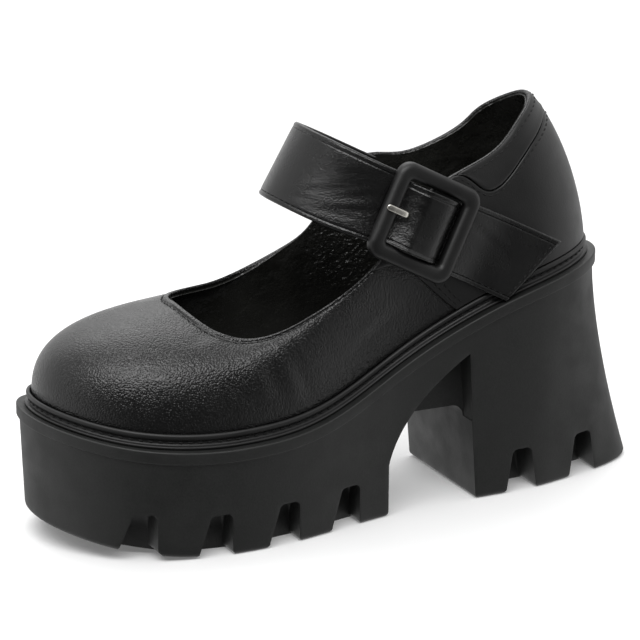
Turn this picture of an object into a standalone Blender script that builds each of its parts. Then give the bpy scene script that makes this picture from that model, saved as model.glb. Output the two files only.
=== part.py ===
"""Platform shoe with a wide buckled instep strap, left foot.

Frame: +X to the toe, +Y to the outer side, +Z up, metres. The origin is on the floor, under the middle
lug of the heel. Round the shoe, the station u runs from 0 at the back of the heel along the outer side to
1 at the toe, and on along the inner side to 2 at the back again. Stations are bunched at both ends by a
cosine, so the heel and toe come out round. Up the upper, v runs from 0 at its foot to 1 at its top edge.
The strap runs in a plane that rises to the toe. Its base is over the back of the lip, as high as the lip is
under the strap's tip: reach is measured from there along the tilt, level square to it.
"""
import math

import bmesh
import bpy
import numpy as np

MM = 0.001
GAP = 0.3 * MM              # clearance between pieces that touch

# Sole in plan, measured at the lip
LENGTH = 250 * MM
BALL_WIDTH = 95 * MM
HEEL_WIDTH = 62 * MM
HEEL_REST = 30.5 * MM       # from the back of the lip to the origin

# Sole heights
PLATFORM_HEIGHT = 44.2 * MM
HEEL_HEIGHT = 93.3 * MM
TOE_SPRING = 11 * MM
TOE_LIFT = 9.2 * MM         # rise of the lip at the toe
SPRING_START = 0.72         # share of the length where the toe starts to lift

# Side wall of the sole
LIP_HEIGHT = 5 * MM
LIP_STEP = 1.2 * MM
LIP_ROUND = 0.6 * MM
WALL_TAPER = 2.4 * MM
FLOOR_CHAMFER = 2 * MM
HEEL_FLARE = 19.6 * MM
FLARE_REACH = 32 * MM       # how far forward of the back the flare starts
FLARE_CURVE = 1.5

# Arch
BREAST = 38 * MM            # heel front at the floor, from the origin
BREAST_RAKE = 3.6 * MM      # forward lean of the heel front up to the arch's top
ARCH_LENGTH = 41 * MM       # heel front to forepart, at the floor
ARCH_TOP = 63 * MM          # top of the skirt's arch, at the heel
SKIRT_FOOT = 22 * MM        # where the skirt's curve meets the forepart
CORE_BOTTOM = 39 * MM
CORE_FILLET = 5 * MM
SKIRT_DEPTH = 7.5 * MM      # how far the core stands back from half the heel width

# Grooves
GROOVE_DEPTH = 17.5 * MM
GROOVE_TOP = 9.5 * MM
GROOVE_SLOPE = 4 * MM
FRONT_GROOVES = 4
REAR_LUG = 14.5 * MM        # forepart's rear lug, up to its groove
FIRST_LUG = 23.5 * MM       # from the toe's tip to the first groove
HEEL_GROOVE_PITCH = 32.4 * MM
HEEL_GROOVE_TOP = 9.5 * MM
HEEL_GROOVE_SLOPE = 2.2 * MM
HEEL_GROOVE_DEPTH = 18.5 * MM
FRONT_GROOVE_REACH = 10 * MM   # from the sole's edge in to the back of the groove
HEEL_GROOVE_REACH = 14.5 * MM
GROOVE_VAULT = 6 * MM       # where its ceiling starts to come down to its back

# Rand
LEDGE = 3.5 * MM            # lip that shows outside the rand
RAND_THICKNESS = 2.2 * MM
RAND_HEIGHT = 6 * MM
RAND_LEAN = 1.1 * MM
RAND_BEAD = 0.5 * MM

# Upper
UPPER_WALL = 2 * MM
COLLAR_HEIGHT = 67.5 * MM   # back of the collar above the lip
VAMP_HEIGHT = 39 * MM       # front of the throat above the lip
QUARTER_THICKNESS = 1 * MM
UPPER_INSET = LEDGE + RAND_THICKNESS + GAP
QUARTER_SEAM_FOOT = 0.375   # station where the quarter's front seam starts
QUARTER_SEAM_TOP = 0.505    # station where it meets the top edge

COLLAR_BAND_END = 0.372     # station where the collar band ends, on both sides
COLLAR_SEAM_GAP = 0.009     # share of the upper's side between quarter and collar band

# Insole
INSOLE_THICKNESS = 3 * MM

# Strap
STRAP_TILT = math.radians(28)
STRAP_WIDTH = 31 * MM
STRAP_THICKNESS = 2.2 * MM
STRAP_INSIDE = 26.2 * MM    # width where it passes through the buckle
STRAP_DROP = 12 * MM        # its centre line's level below the base, at the tip
STRAP_CROWN = 149.5 * MM    # reach of the arch over the instep
TIP_PLACE = 0.2             # share of the sole's length under the tip
STRAP_SLANT = 13 * MM       # how much farther back the tip's upper corner is
STRAP_LEAN = 0.076          # side lean of its width where it lies on the quarters
STRAP_SPREAD = 25 * MM      # half width of the arch, where the full lean is reached
STRAP_FORWARD = 0.05        # how much farther forward its lower edge is at the crown
STRAP_HUMP = 4.5 * MM       # rise over the buckle's centre bar
HUMP_FLAT = 6.5 * MM        # half length of the hump's top

# Buckle
BUCKLE_REACH = 101 * MM
BUCKLE_ACROSS = 40.3 * MM
BUCKLE_ALONG = 40.3 * MM
BUCKLE_BAR = 6.5 * MM
BUCKLE_DEPTH = 4.8 * MM
BUCKLE_CORNER = 6 * MM
WINDOW_CORNER = 2 * MM
CENTRE_BAR_RADIUS = 1.1 * MM
CENTRE_BAR_LEVEL = 0.9 * MM  # over the strap's centre line

# Prong
PRONG_WIDTH = 2.4 * MM
PRONG_THICKNESS = 0.9 * MM
PRONG_SLACK = 0.2 * MM      # play of its loop on the centre bar
PRONG_TIP = 19.2 * MM       # from the centre bar

ROWS_AROUND = 96
ROWS_UP = 10
ROWS_ON_BAR = 16

# Outline of the lip: station, then half width as shares of the ball and heel widths
OUTLINE = (
    ("heel back", 0.000, 0.000, 0.000),
    ("outer heel corner", 0.111, 0.000, 0.270),
    ("outer heel", 0.235, 0.000, 0.497),
    ("outer breast", 0.348, 0.000, 0.540),
    ("outer waist", 0.449, 0.200, 0.270),
    ("outer joint", 0.577, 0.497, 0.000),
    ("outer ball", 0.689, 0.508, 0.000),
    ("outer toe", 0.795, 0.410, 0.000),
    ("outer tip", 0.889, 0.220, 0.000),
    ("toe", 1.000, -0.042, 0.000),
    ("inner tip", 1.101, -0.277, 0.000),
    ("inner toe", 1.205, -0.418, 0.000),
    ("inner ball", 1.341, -0.488, 0.000),
    ("inner waist", 1.532, -0.180, -0.270),
    ("inner breast", 1.652, 0.000, -0.500),
    ("inner heel", 1.765, 0.000, -0.492),
    ("inner heel corner", 1.889, 0.000, -0.274),
)

# Height of the lip: share of the length, share of the rise from platform to heel
LIP_RISE = (
    (0.00, 1.000),
    (0.20, 0.815),
    (0.40, 0.410),
    (0.55, 0.090),
    (0.70, 0.000),
    (0.85, 0.000),
    (1.00, 0.000),
)

# Top edge of the upper: station of its foot, place along the length, half width as shares of the ball and
# heel widths, height above the lip as shares of the collar and vamp heights
TOP_EDGE = (
    ("back", 0.000, 0.126, 0.000, 0.000, 1.000, 0.000),
    ("outer back", 0.120, 0.142, 0.000, 0.153, 0.975, 0.000),
    ("outer heel", 0.235, 0.180, 0.000, 0.266, 0.930, 0.000),
    ("outer collar", 0.326, 0.236, 0.000, 0.347, 0.896, 0.000),
    ("outer collar front", 0.383, 0.300, 0.000, 0.403, 0.937, 0.000),
    ("outer quarter", 0.436, 0.372, 0.000, 0.444, 0.930, 0.000),
    ("outer quarter front", 0.481, 0.432, 0.310, 0.000, 0.600, 0.356),
    ("outer throat rise", 0.526, 0.496, 0.332, 0.000, 0.400, 0.560),
    ("outer throat", 0.577, 0.564, 0.347, 0.000, 0.000, 1.130),
    ("outer throat low", 0.631, 0.624, 0.349, 0.000, 0.000, 1.008),
    ("outer throat turn", 0.689, 0.680, 0.316, 0.000, 0.000, 0.949),
    ("outer throat front", 0.756, 0.722, 0.237, 0.000, 0.000, 0.980),
    ("throat front corner", 0.830, 0.744, 0.121, 0.000, 0.000, 1.028),
    ("throat front", 1.000, 0.750, -0.020, 0.000, 0.000, 0.992),
    ("inner front corner", 1.170, 0.736, -0.137, 0.000, 0.000, 1.054),
    ("inner throat front", 1.244, 0.704, -0.221, 0.000, 0.000, 1.082),
    ("inner throat turn", 1.311, 0.660, -0.284, 0.000, 0.000, 1.100),
    ("inner throat low", 1.369, 0.614, -0.321, 0.000, 0.000, 1.120),
    ("inner throat", 1.423, 0.560, -0.337, 0.000, 0.000, 1.187),
    ("inner throat rise", 1.474, 0.502, -0.332, 0.000, 0.400, 0.560),
    ("inner quarter front", 1.519, 0.454, -0.305, 0.000, 0.600, 0.300),
    ("inner quarter", 1.564, 0.410, 0.000, -0.433, 0.933, 0.000),
    ("inner collar front", 1.617, 0.344, 0.000, -0.403, 0.907, 0.000),
    ("inner collar low", 1.646, 0.298, 0.000, -0.381, 0.836, 0.000),
    ("inner collar", 1.674, 0.248, 0.000, -0.347, 0.839, 0.000),
    ("inner heel", 1.765, 0.184, 0.000, -0.266, 0.907, 0.000),
    ("inner back", 1.880, 0.144, 0.000, -0.153, 0.965, 0.000),
)

# Side form of the upper: station, roundness of the arch, share of the rise that is a plain slope
SIDE_FORM = (
    (0.00, 2.0, 0.40),
    (0.30, 2.0, 0.40),
    (0.45, 2.0, 0.38),
    (0.60, 2.4, 0.26),
    (0.80, 3.0, 0.19),
    (1.00, 3.2, 0.19),
)

# Collar seam: station, height up the upper
COLLAR_SEAM = (
    (0.000, 0.860),
    (0.100, 0.847),
    (0.160, 0.826),
    (0.220, 0.797),
    (0.260, 0.766),
    (0.290, 0.727),
    (0.310, 0.702),
    (0.330, 0.708),
    (0.345, 0.765),
    (0.370, 0.920),
    (0.385, 1.000),
)

# Strap's centre line: reach as a share of the crown's, side as a share of the buckle's where it is free,
# what it lies on (-1 inside the inner quarter, 1 on the outer quarter, 2 there but held flat by the buckle,
# 0 nothing), then sag and width as shares of the strap's width
STRAP_PATH = (
    ("inner end", 0.679, 0.000, -1, 0.048, 1.030),
    ("inner edge", 0.740, 0.000, -1, 0.052, 1.035),
    ("inner rise", 0.838, -0.817, 0, 0.056, 1.040),
    ("inner turn", 0.913, -0.719, 0, 0.060, 1.043),
    ("inner crown", 0.965, -0.503, 0, 0.060, 1.043),
    ("inner of the crown", 0.990, -0.268, 0, 0.060, 1.043),
    ("crown", 1.000, 0.000, 0, 0.060, 1.043),
    ("outer crown", 0.985, 0.354, 0, 0.058, 1.040),
    ("outer turn", 0.944, 0.658, 0, 0.056, 1.034),
    ("outer fall", 0.881, 0.887, 0, 0.046, 1.010),
    ("toe side bar", 0.807, 0.000, 2, 0.026, 0.975),
    ("before the buckle", 0.740, 0.000, 2, 0.018, 0.972),
    ("buckle", 0.675, 0.000, 2, 0.014, 0.974),
    ("after the buckle", 0.612, 0.000, 2, 0.010, 0.978),
    ("heel side bar", 0.545, 0.000, 2, 0.006, 0.982),
    ("free end", 0.451, 0.000, 1, 0.000, 0.992),
    ("free end middle", 0.364, 0.000, 1, 0.000, 1.000),
    ("tip", 0.281, 0.000, 1, 0.000, 1.000),
)

# Prong's middle line after its loop: distance before the centre bar, height over the strap's centre line
PRONG_PATH = ((3.0, 2.55), (6.0, 2.60), (7.3, 3.25), (9.9, 6.20), (11.0, 6.90), (12.6, 7.05), (17.4, 7.00))

COLOURS = {
    "outsole": ((0.022, 0.022, 0.022), 0.62, 0.0),
    "rand": ((0.018, 0.018, 0.018), 0.55, 0.0),
    "upper": ((0.012, 0.012, 0.012), 0.36, 0.0),
    "quarter": ((0.012, 0.012, 0.012), 0.36, 0.0),
    "collar_band": ((0.012, 0.012, 0.012), 0.36, 0.0),
    "insole": ((0.010, 0.010, 0.010), 0.50, 0.0),
    "strap": ((0.012, 0.012, 0.012), 0.36, 0.0),
    "buckle_frame": ((0.012, 0.012, 0.012), 0.38, 0.0),
    "buckle_prong": ((0.80, 0.79, 0.76), 0.20, 1.0),
}


def smooth(knots, values, at, period=0.0):
    """Cubic spline through rows: free at its ends, or closed when a period is given."""
    t = np.asarray(knots, float)
    y = np.asarray(values, float)
    at = np.asarray(at, float)
    if period:
        t = np.append(t, t[0] + period)
        y = np.append(y, y[0])
        at = t[0] + np.mod(at - t[0], period)
    step = np.diff(t)
    slope = np.diff(y) / step
    size = len(t)
    system = np.zeros((size, size))
    right = np.zeros(size)
    for i in range(1, size - 1):
        system[i, i - 1:i + 2] = step[i - 1], 2 * (step[i - 1] + step[i]), step[i]
        right[i] = 6 * (slope[i] - slope[i - 1])
    if period:
        system[0, 0], system[0, -1] = 1, -1
        system[-1, :2] = 2 * step[0], step[0]
        system[-1, -2:] += step[-1], 2 * step[-1]
        right[-1] = 6 * (slope[0] - slope[-1])
    else:
        system[0, 0] = system[-1, -1] = 1
    bend = np.linalg.solve(system, right)
    i = np.clip(np.searchsorted(t, at, side="right") - 1, 0, size - 2)
    a = (t[i + 1] - at) / step[i]
    b = 1 - a
    curve = (a ** 3 - a) * bend[i] + (b ** 3 - b) * bend[i + 1]
    return a * y[i] + b * y[i + 1] + curve * step[i] ** 2 / 6


def outline(u, inset):
    """Plan of the lip, moved in by a distance square to its own edge."""
    rows = np.array([row[1:] for row in OUTLINE])
    half = rows[:, 1] * BALL_WIDTH + rows[:, 2] * HEEL_WIDTH
    u = np.asarray(u, float)

    def edge(at):
        along = LENGTH * (1 - np.cos(math.pi * at)) / 2 - HEEL_REST
        return np.stack([along, smooth(rows[:, 0], half, at, 2.0)], axis=-1)

    tangent = edge(u + 1e-4) - edge(u - 1e-4)
    tangent /= np.linalg.norm(tangent, axis=-1)[..., None]
    inward = np.stack([tangent[..., 1], -tangent[..., 0]], axis=-1)
    return edge(u) + inward * np.asarray(inset)[..., None]


def share(x):
    """Place along the sole, 0 at the back of the lip and 1 at its toe."""
    return (np.asarray(x) + HEEL_REST) / LENGTH


def toe_curve(x):
    """Nought up to the spring, then a parabola that reaches 1 at the toe."""
    return np.clip((share(x) - SPRING_START) / (1 - SPRING_START), 0, None) ** 2


def lip_height(x):
    """Top of the sole: platform, rise to the heel, lift at the toe."""
    rows = np.array(LIP_RISE)
    rise = smooth(rows[:, 0], rows[:, 1], np.clip(share(x), 0, 1))
    return PLATFORM_HEIGHT + (HEEL_HEIGHT - PLATFORM_HEIGHT) * rise + TOE_LIFT * toe_curve(x)


def sole_bottom(x):
    """Underside of the sole: the floor, then the toe spring."""
    return TOE_SPRING * toe_curve(x)


def top_edge(u):
    """Top edge of the upper: throat, quarters and collar as one closed curve."""
    rows = np.array([row[1:] for row in TOP_EDGE])
    half = rows[:, 2] * BALL_WIDTH + rows[:, 3] * HEEL_WIDTH
    rise = rows[:, 4] * COLLAR_HEIGHT + rows[:, 5] * VAMP_HEIGHT
    foot = outline(u, UPPER_INSET)
    return np.stack([
        smooth(rows[:, 0], rows[:, 1] * LENGTH - HEEL_REST, u, 2.0),
        smooth(rows[:, 0], half, u, 2.0),
        lip_height(foot[..., 0]) + smooth(rows[:, 0], rise, u, 2.0)], axis=-1)


def last_surface(u, v):
    """Outer face of the upper: a superellipse arch on a slanted line from its foot to its top edge."""
    u, v = np.broadcast_arrays(np.asarray(u, float), np.asarray(v, float))
    rows = np.array(SIDE_FORM)
    end = np.abs(np.mod(u + 1, 2) - 1)
    roundness = smooth(rows[:, 0], rows[:, 1], end)
    sloped = smooth(rows[:, 0], rows[:, 2], end)
    plan = outline(u, UPPER_INSET)
    foot = np.concatenate([plan, (lip_height(plan[..., 0]) + GAP)[..., None]], axis=-1)
    top = top_edge(u)
    angle = np.clip(v, 0, 1) * math.pi / 2
    inward = 1 - np.abs(np.cos(angle)) ** (2 / roundness)
    upward = np.abs(np.sin(angle)) ** (2 / roundness)
    rise = (1 - sloped) * upward + sloped * inward
    way = np.stack([inward, inward, rise], axis=-1)
    return foot + (top - foot) * way


def last_offset(u, v, outward):
    """The upper's face moved along its own normal; minus is towards the foot."""
    u, v = np.broadcast_arrays(np.asarray(u, float), np.asarray(v, float))
    low = np.clip(v - 0.01, 0.002, 0.98)
    along = last_surface(u + 0.002, v) - last_surface(u - 0.002, v)
    up = last_surface(u, low + 0.02) - last_surface(u, low)
    normal = np.cross(along, up)
    normal[..., 2] = np.where(v < 0.02, 0, normal[..., 2])
    normal /= np.linalg.norm(normal, axis=-1)[..., None]
    return last_surface(u, v) - normal * np.asarray(outward)[..., None]


def side_of_upper(x, z, side):
    """Y of what the strap lies on, at a place seen from the side: quarter and rand, or the inner wall."""
    if side > 0:
        u, v = np.meshgrid(np.linspace(0.02, 0.62, 160), np.linspace(0.0, 1.0, 60), indexing="ij")
        face = last_offset(u, v, GAP + QUARTER_THICKNESS)
    else:
        u, v = np.meshgrid(np.linspace(1.40, 1.75, 160), np.linspace(0.0, 1.0, 60), indexing="ij")
        face = last_offset(u, v, -UPPER_WALL)
    face = face.reshape(-1, 3)
    x, z = np.broadcast_arrays(np.asarray(x, float), np.asarray(z, float))
    far = (face[:, 0] - x[..., None]) ** 2 + (face[:, 2] - z[..., None]) ** 2
    found = face[np.argmin(far, axis=-1), 1]
    if side > 0:
        plan = outline(np.linspace(0.1, 0.6, 90), np.full(90, LEDGE))
        rand = np.interp(x, plan[:, 0], plan[:, 1])
        found = np.where(z < lip_height(x) + RAND_HEIGHT + 2 * GAP, np.maximum(found, rand), found)
    return found


def collection(name):
    """A new collection under the scene's own."""
    group = bpy.data.collections.new(name)
    bpy.context.scene.collection.children.link(group)
    return group


def material(name):
    """Principled material from the colour table."""
    colour, rough, metal = COLOURS[name]
    made = bpy.data.materials.new(name)
    made.use_nodes = True
    shader = made.node_tree.nodes["Principled BSDF"]
    shader.inputs["Base Color"].default_value = (*colour, 1)
    shader.inputs["Roughness"].default_value = rough
    shader.inputs["Metallic"].default_value = metal
    return made


def add_object(name, points, faces, group, cutter=False):
    """Mesh object from points and faces, with its faces pointing out."""
    mesh = bpy.data.meshes.new(name)
    mesh.from_pydata([tuple(map(float, p)) for p in points], [], [tuple(map(int, f)) for f in faces])
    work = bmesh.new()
    work.from_mesh(mesh)
    bmesh.ops.recalc_face_normals(work, faces=work.faces)
    work.to_mesh(mesh)
    work.free()
    obj = bpy.data.objects.new(name, mesh)
    group.objects.link(obj)
    if cutter:
        obj.hide_render = True
        obj.display_type = "WIRE"
    else:
        mesh.materials.append(material(name))
        mesh.shade_smooth()
        mesh.set_sharp_from_angle(angle=math.radians(35))
    return obj


def ring_faces(rings, around, closed_tube=False):
    """Quads between neighbouring closed rings; a closed tube joins the last ring to the first."""
    i, j = np.meshgrid(np.arange(rings if closed_tube else rings - 1), np.arange(around), indexing="ij")
    k, m = (i + 1) % rings, (j + 1) % around
    quads = np.stack([i * around + j, i * around + m, k * around + m, k * around + j], axis=-1)
    return quads.reshape(-1, 4).tolist()


def cap_faces(ring, around):
    """Cross strips that close a ring from its outer half to its inner half."""
    start = ring * around
    faces = [(start, start + 1, start + around - 1)]
    for j in range(1, around // 2 - 1):
        faces.append((start + j, start + j + 1, start + around - j - 1, start + around - j))
    half = around // 2
    faces.append((start + half - 1, start + half, start + half + 1))
    return faces


def stations(count):
    """Stations round the whole shoe, from the back."""
    return np.arange(count) * 2 / count


def prism(name, profile, y_low, y_high, group):
    """Cutter with a side profile in X and Z, carried across the shoe."""
    count = len(profile)
    points = [(x, y, z) for y in (y_low, y_high) for x, z in profile]
    faces = ring_faces(2, count) + [tuple(range(count)), tuple(range(count, 2 * count))]
    return add_object(name, points, faces, group, cutter=True)


def cut(obj, cutter):
    """Boolean difference, exact solver."""
    step = obj.modifiers.new(cutter.name, "BOOLEAN")
    step.operation = "DIFFERENCE"
    step.object = cutter


def sole_wall(u, level):
    """Ring of the sole's side between the floor, level 0, and the foot of the lip, level 1."""
    taper = WALL_TAPER + (LIP_STEP - WALL_TAPER) * level
    plan = outline(u, taper)
    back = np.clip((plan[..., 0] + HEEL_REST) / FLARE_REACH, 0, 1)
    flare = HEEL_FLARE * np.cos(back * math.pi / 2) ** 2 * (1 - level) ** FLARE_CURVE
    low = sole_bottom(plan[..., 0]) + FLOOR_CHAMFER
    high = lip_height(plan[..., 0]) - LIP_HEIGHT - LIP_STEP
    z = low + (high - low) * level
    return np.stack([plan[..., 0] - flare, plan[..., 1], z], axis=-1)


def raised(u, inset, height):
    """Ring at an inset from the lip's edge and a height over the lip."""
    plan = outline(u, inset)
    return np.concatenate([plan, (lip_height(plan[..., 0]) + height)[..., None]], axis=-1)


def build_outsole(group, cutters):
    """Moulded unit: wall rings under a stepped lip, cut by the arch and the grooves."""
    u = stations(ROWS_AROUND)
    floor = sole_wall(u, 0.0)
    plan = outline(u, WALL_TAPER + FLOOR_CHAMFER)
    edge = floor.copy()
    edge[:, :2] += plan - outline(u, WALL_TAPER)
    edge[:, 2] = sole_bottom(edge[:, 0])
    rings = [edge, floor]
    rings += [sole_wall(u, level) for level in (0.12, 0.28, 0.5, 0.75, 1.0)]
    rings.append(raised(u, 0 * u, -LIP_HEIGHT))
    rings.append(raised(u, 0 * u, -LIP_ROUND))
    rings.append(raised(u, 0 * u + LIP_ROUND, 0))
    faces = ring_faces(len(rings), ROWS_AROUND)
    faces += cap_faces(0, ROWS_AROUND) + cap_faces(len(rings) - 1, ROWS_AROUND)
    sole = add_object("outsole", np.concatenate(rings), faces, group)
    wide = BALL_WIDTH
    cut(sole, prism("arch_cut", arch_profile(), -wide, wide, cutters))
    core = HEEL_WIDTH / 2 - SKIRT_DEPTH
    cut(sole, prism("outer_pocket_cut", skirt_profile(), core, wide, cutters))
    cut(sole, prism("inner_pocket_cut", skirt_profile(), -wide, -core, cutters))
    for name, reach, *place in groove_places():
        for side in (1, -1):
            cut(sole, recess(name, groove_profile(*place), reach, side, cutters))
    return sole


def breast_x(z):
    """Heel front at a height."""
    return BREAST + BREAST_RAKE * z / ARCH_TOP


def skirt_curve():
    """Lower edge of the side skirt, from the heel's front down to the forepart."""
    start = np.array([breast_x(ARCH_TOP), ARCH_TOP])
    end = np.array([BREAST + ARCH_LENGTH, SKIRT_FOOT])
    bend = np.array([start[0] + 0.85 * (end[0] - start[0]), end[1] + 0.525 * (start[1] - end[1])])
    t = np.linspace(0, 1, 21)[:, None]
    return start * (1 - t) ** 2 + bend * 2 * t * (1 - t) + end * t ** 2


def arch_profile():
    """Open span under the core, from the heel front to the forepart."""
    rear = BREAST + ARCH_LENGTH
    low = -GROOVE_DEPTH
    foot = FLOOR_CHAMFER
    corner = breast_x(CORE_BOTTOM) + CORE_FILLET
    turn = [(corner - CORE_FILLET * math.cos(a), CORE_BOTTOM - CORE_FILLET + CORE_FILLET * math.sin(a))
            for a in np.linspace(0, math.pi / 2, 5)]
    curve = skirt_curve()
    forepart = [(x, z) for x, z in curve[::2] if z < CORE_BOTTOM]
    meet = np.interp(-CORE_BOTTOM, -curve[:, 1], curve[:, 0])
    starts = [(BREAST - foot, low), (BREAST - foot, 0), (breast_x(foot), foot)]
    ends = [(rear, foot), (rear + foot, 0), (rear + foot, low)]
    return starts + turn + [(meet, CORE_BOTTOM)] + forepart + ends


def skirt_profile():
    """Space above the core's bottom, under the side skirt."""
    curve = skirt_curve()
    meet = np.interp(-CORE_BOTTOM, -curve[:, 1], curve[:, 0])
    low = CORE_BOTTOM - CORE_FILLET
    upper = [(x, z) for x, z in curve[::2] if z > CORE_BOTTOM]
    return [(breast_x(low), low)] + upper + [(meet, CORE_BOTTOM), (meet - CORE_FILLET, low)]


def groove_places():
    """Name, reach in from the side, rear wall, slopes, top width and depth of each groove."""
    rear = BREAST + ARCH_LENGTH + REAR_LUG
    first = LENGTH - HEEL_REST - FIRST_LUG - GROOVE_TOP - GROOVE_SLOPE
    places = []
    for count, x in enumerate(np.linspace(rear, first, FRONT_GROOVES)):
        depth = GROOVE_DEPTH + sole_bottom(x)
        name = "front_groove_%d" % count
        places.append((name, FRONT_GROOVE_REACH, x, 0.0, GROOVE_SLOPE, GROOVE_TOP, depth))
    for name, side in (("rear_heel_groove", -1), ("fore_heel_groove", 1)):
        start = side * HEEL_GROOVE_PITCH / 2 - HEEL_GROOVE_TOP / 2
        slope = HEEL_GROOVE_SLOPE
        places.append((name, HEEL_GROOVE_REACH, start, slope, slope, HEEL_GROOVE_TOP, HEEL_GROOVE_DEPTH))
    return places


def groove_profile(x, rear_slope, front_slope, top, depth):
    """Trapezoid with a chamfered foot and a softened top."""
    low = -GROOVE_DEPTH
    foot = FLOOR_CHAMFER + float(sole_bottom(x + top))
    soft = FLOOR_CHAMFER
    return [
        (x - rear_slope - soft, low),
        (x - rear_slope - soft, foot - FLOOR_CHAMFER),
        (x - rear_slope, foot),
        (x, depth - soft),
        (x + soft, depth),
        (x + top - soft, depth),
        (x + top, depth - soft),
        (x + top + front_slope, foot),
        (x + top + front_slope + soft, foot - FLOOR_CHAMFER),
        (x + top + front_slope + soft, low)]


def recess(name, profile, reach, side, group):
    """Cutter for a groove from one side: its ceiling comes down to a back that follows the sole's edge."""
    profile = np.array(profile)
    ends = profile[[0, -1], 0]
    edge = sole_wall(np.linspace(0.02, 0.98, 200) if side > 0 else np.linspace(1.98, 1.02, 200), 0.0)
    back = np.interp(profile[:, 0], ends, np.interp(ends, edge[:, 0], edge[:, 1]) - side * reach)
    ground = float(sole_bottom(ends.mean()))
    rings = []
    for away, high in ((0.0, 0.5), (0.35, 0.86), (1.0, 1.0), (None, 1.0)):
        y = back + side * away * GROOVE_VAULT if away is not None else 0 * back + side * BALL_WIDTH
        z = profile[:, 1] + (high - 1) * np.clip(profile[:, 1] - ground, 0, None)
        rings.append(np.stack([profile[:, 0], y, z], axis=-1))
    count = len(profile)
    faces = ring_faces(4, count) + [tuple(range(count)), tuple(range(3 * count, 4 * count))]
    return add_object(name, np.concatenate(rings), faces, group, cutter=True)


def build_rand(group):
    """Strip round the upper's foot, leaning in, with a bead along its top."""
    u = stations(ROWS_AROUND)
    inner = LEDGE + RAND_THICKNESS
    lean = LEDGE + RAND_LEAN
    section = (
        (LEDGE, GAP),
        (lean, RAND_HEIGHT - 3 * RAND_BEAD),
        (lean - RAND_BEAD, RAND_HEIGHT - RAND_BEAD),
        (lean, RAND_HEIGHT),
        (inner, RAND_HEIGHT),
        (inner, GAP))
    rings = [raised(u, 0 * u + inset, height) for inset, height in section]
    faces = ring_faces(len(rings), ROWS_AROUND, closed_tube=True)
    return add_object("rand", np.concatenate(rings), faces, group)


def build_upper(group):
    """Hollow upper: outer face, top edge, inner face one wall in, and the open foot."""
    u = stations(ROWS_AROUND)
    heights = np.linspace(0, 1, ROWS_UP)
    rings = [last_surface(u, 0 * u + v) for v in heights]
    inside = [last_offset(u, 0 * u + v, 0 * u - UPPER_WALL) for v in heights]
    inside[0][:, 2] = rings[0][:, 2]
    rings += inside[::-1]
    faces = ring_faces(len(rings), ROWS_AROUND, closed_tube=True)
    return add_object("upper", np.concatenate(rings), faces, group)


def height_station(u, height):
    """Value of v where the upper's face is a height above the lip."""
    v = np.linspace(0, 0.5, 60)
    found = []
    for at in u:
        face = last_surface(np.full(60, at), v)
        found.append(np.interp(height, face[:, 2] - face[0, 2], v))
    return np.array(found)


def build_quarter(group):
    """Back panel over the upper, from seam to seam round the heel, up to the collar seam."""
    across, up = 56, 8
    seam = np.array(COLLAR_SEAM)
    s = np.linspace(-1, 1, across)
    rise = np.linspace(0, 1, up)
    grid_u = np.zeros((across, up))
    grid_v = np.zeros((across, up))
    for j, t in enumerate(rise):
        reach = QUARTER_SEAM_FOOT + (QUARTER_SEAM_TOP - QUARTER_SEAM_FOOT) * t
        grid_u[:, j] = s * reach
    low = height_station(grid_u[:, 0], RAND_HEIGHT + GAP)
    for j, t in enumerate(rise):
        high = np.interp(np.abs(grid_u[:, j]), seam[:, 0], seam[:, 1])
        grid_v[:, j] = low + (high - low) * t
    inner = last_offset(grid_u, grid_v, np.full(grid_u.shape, GAP))
    outer = last_offset(grid_u, grid_v, np.full(grid_u.shape, GAP + QUARTER_THICKNESS))
    return add_object("quarter", *shell(inner, outer), group)


def build_collar_band(group):
    """Band over the upper between the collar seam and the top edge, as thick as the quarter beside it."""
    across, up = 45, 4
    seam = np.array(COLLAR_SEAM)
    grid_u = np.repeat(np.linspace(-COLLAR_BAND_END, COLLAR_BAND_END, across)[:, None], up, axis=1)
    low = np.interp(np.abs(grid_u), seam[:, 0], seam[:, 1]) + COLLAR_SEAM_GAP
    grid_v = low + (1 - low) * np.linspace(0, 1, up)
    inner = last_offset(grid_u, grid_v, np.full(grid_u.shape, GAP))
    outer = last_offset(grid_u, grid_v, np.full(grid_u.shape, GAP + QUARTER_THICKNESS))
    return add_object("collar_band", *shell(inner, outer), group)


def shell(inner, outer):
    """Closed slab between two grids of the same size."""
    rows, columns = inner.shape[:2]
    points = np.concatenate([inner.reshape(-1, 3), outer.reshape(-1, 3)])
    base = rows * columns
    faces = []
    for i in range(rows - 1):
        for j in range(columns - 1):
            a, b = i * columns + j, (i + 1) * columns + j
            faces.append((a, b, b + 1, a + 1))
            faces.append((base + a, base + a + 1, base + b + 1, base + b))
    rim = [j for j in range(columns)]
    rim += [i * columns + columns - 1 for i in range(1, rows)]
    rim += [(rows - 1) * columns + j for j in range(columns - 2, -1, -1)]
    rim += [i * columns for i in range(rows - 2, 0, -1)]
    for a, b in zip(rim, rim[1:] + rim[:1]):
        faces.append((a, b, base + b, base + a))
    return points, faces


def build_insole(group):
    """Footbed on the sole, clear of the upper's wall."""
    around = 64
    u = stations(around)
    inset = UPPER_INSET + UPPER_WALL + GAP
    edge = 0.5 * MM
    top = GAP + INSOLE_THICKNESS
    rings = [
        raised(u, 0 * u + inset, GAP),
        raised(u, 0 * u + inset, top - edge),
        raised(u, 0 * u + inset + edge, top)]
    faces = ring_faces(3, around) + cap_faces(0, around) + cap_faces(2, around)
    return add_object("insole", np.concatenate(rings), faces, group)


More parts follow.
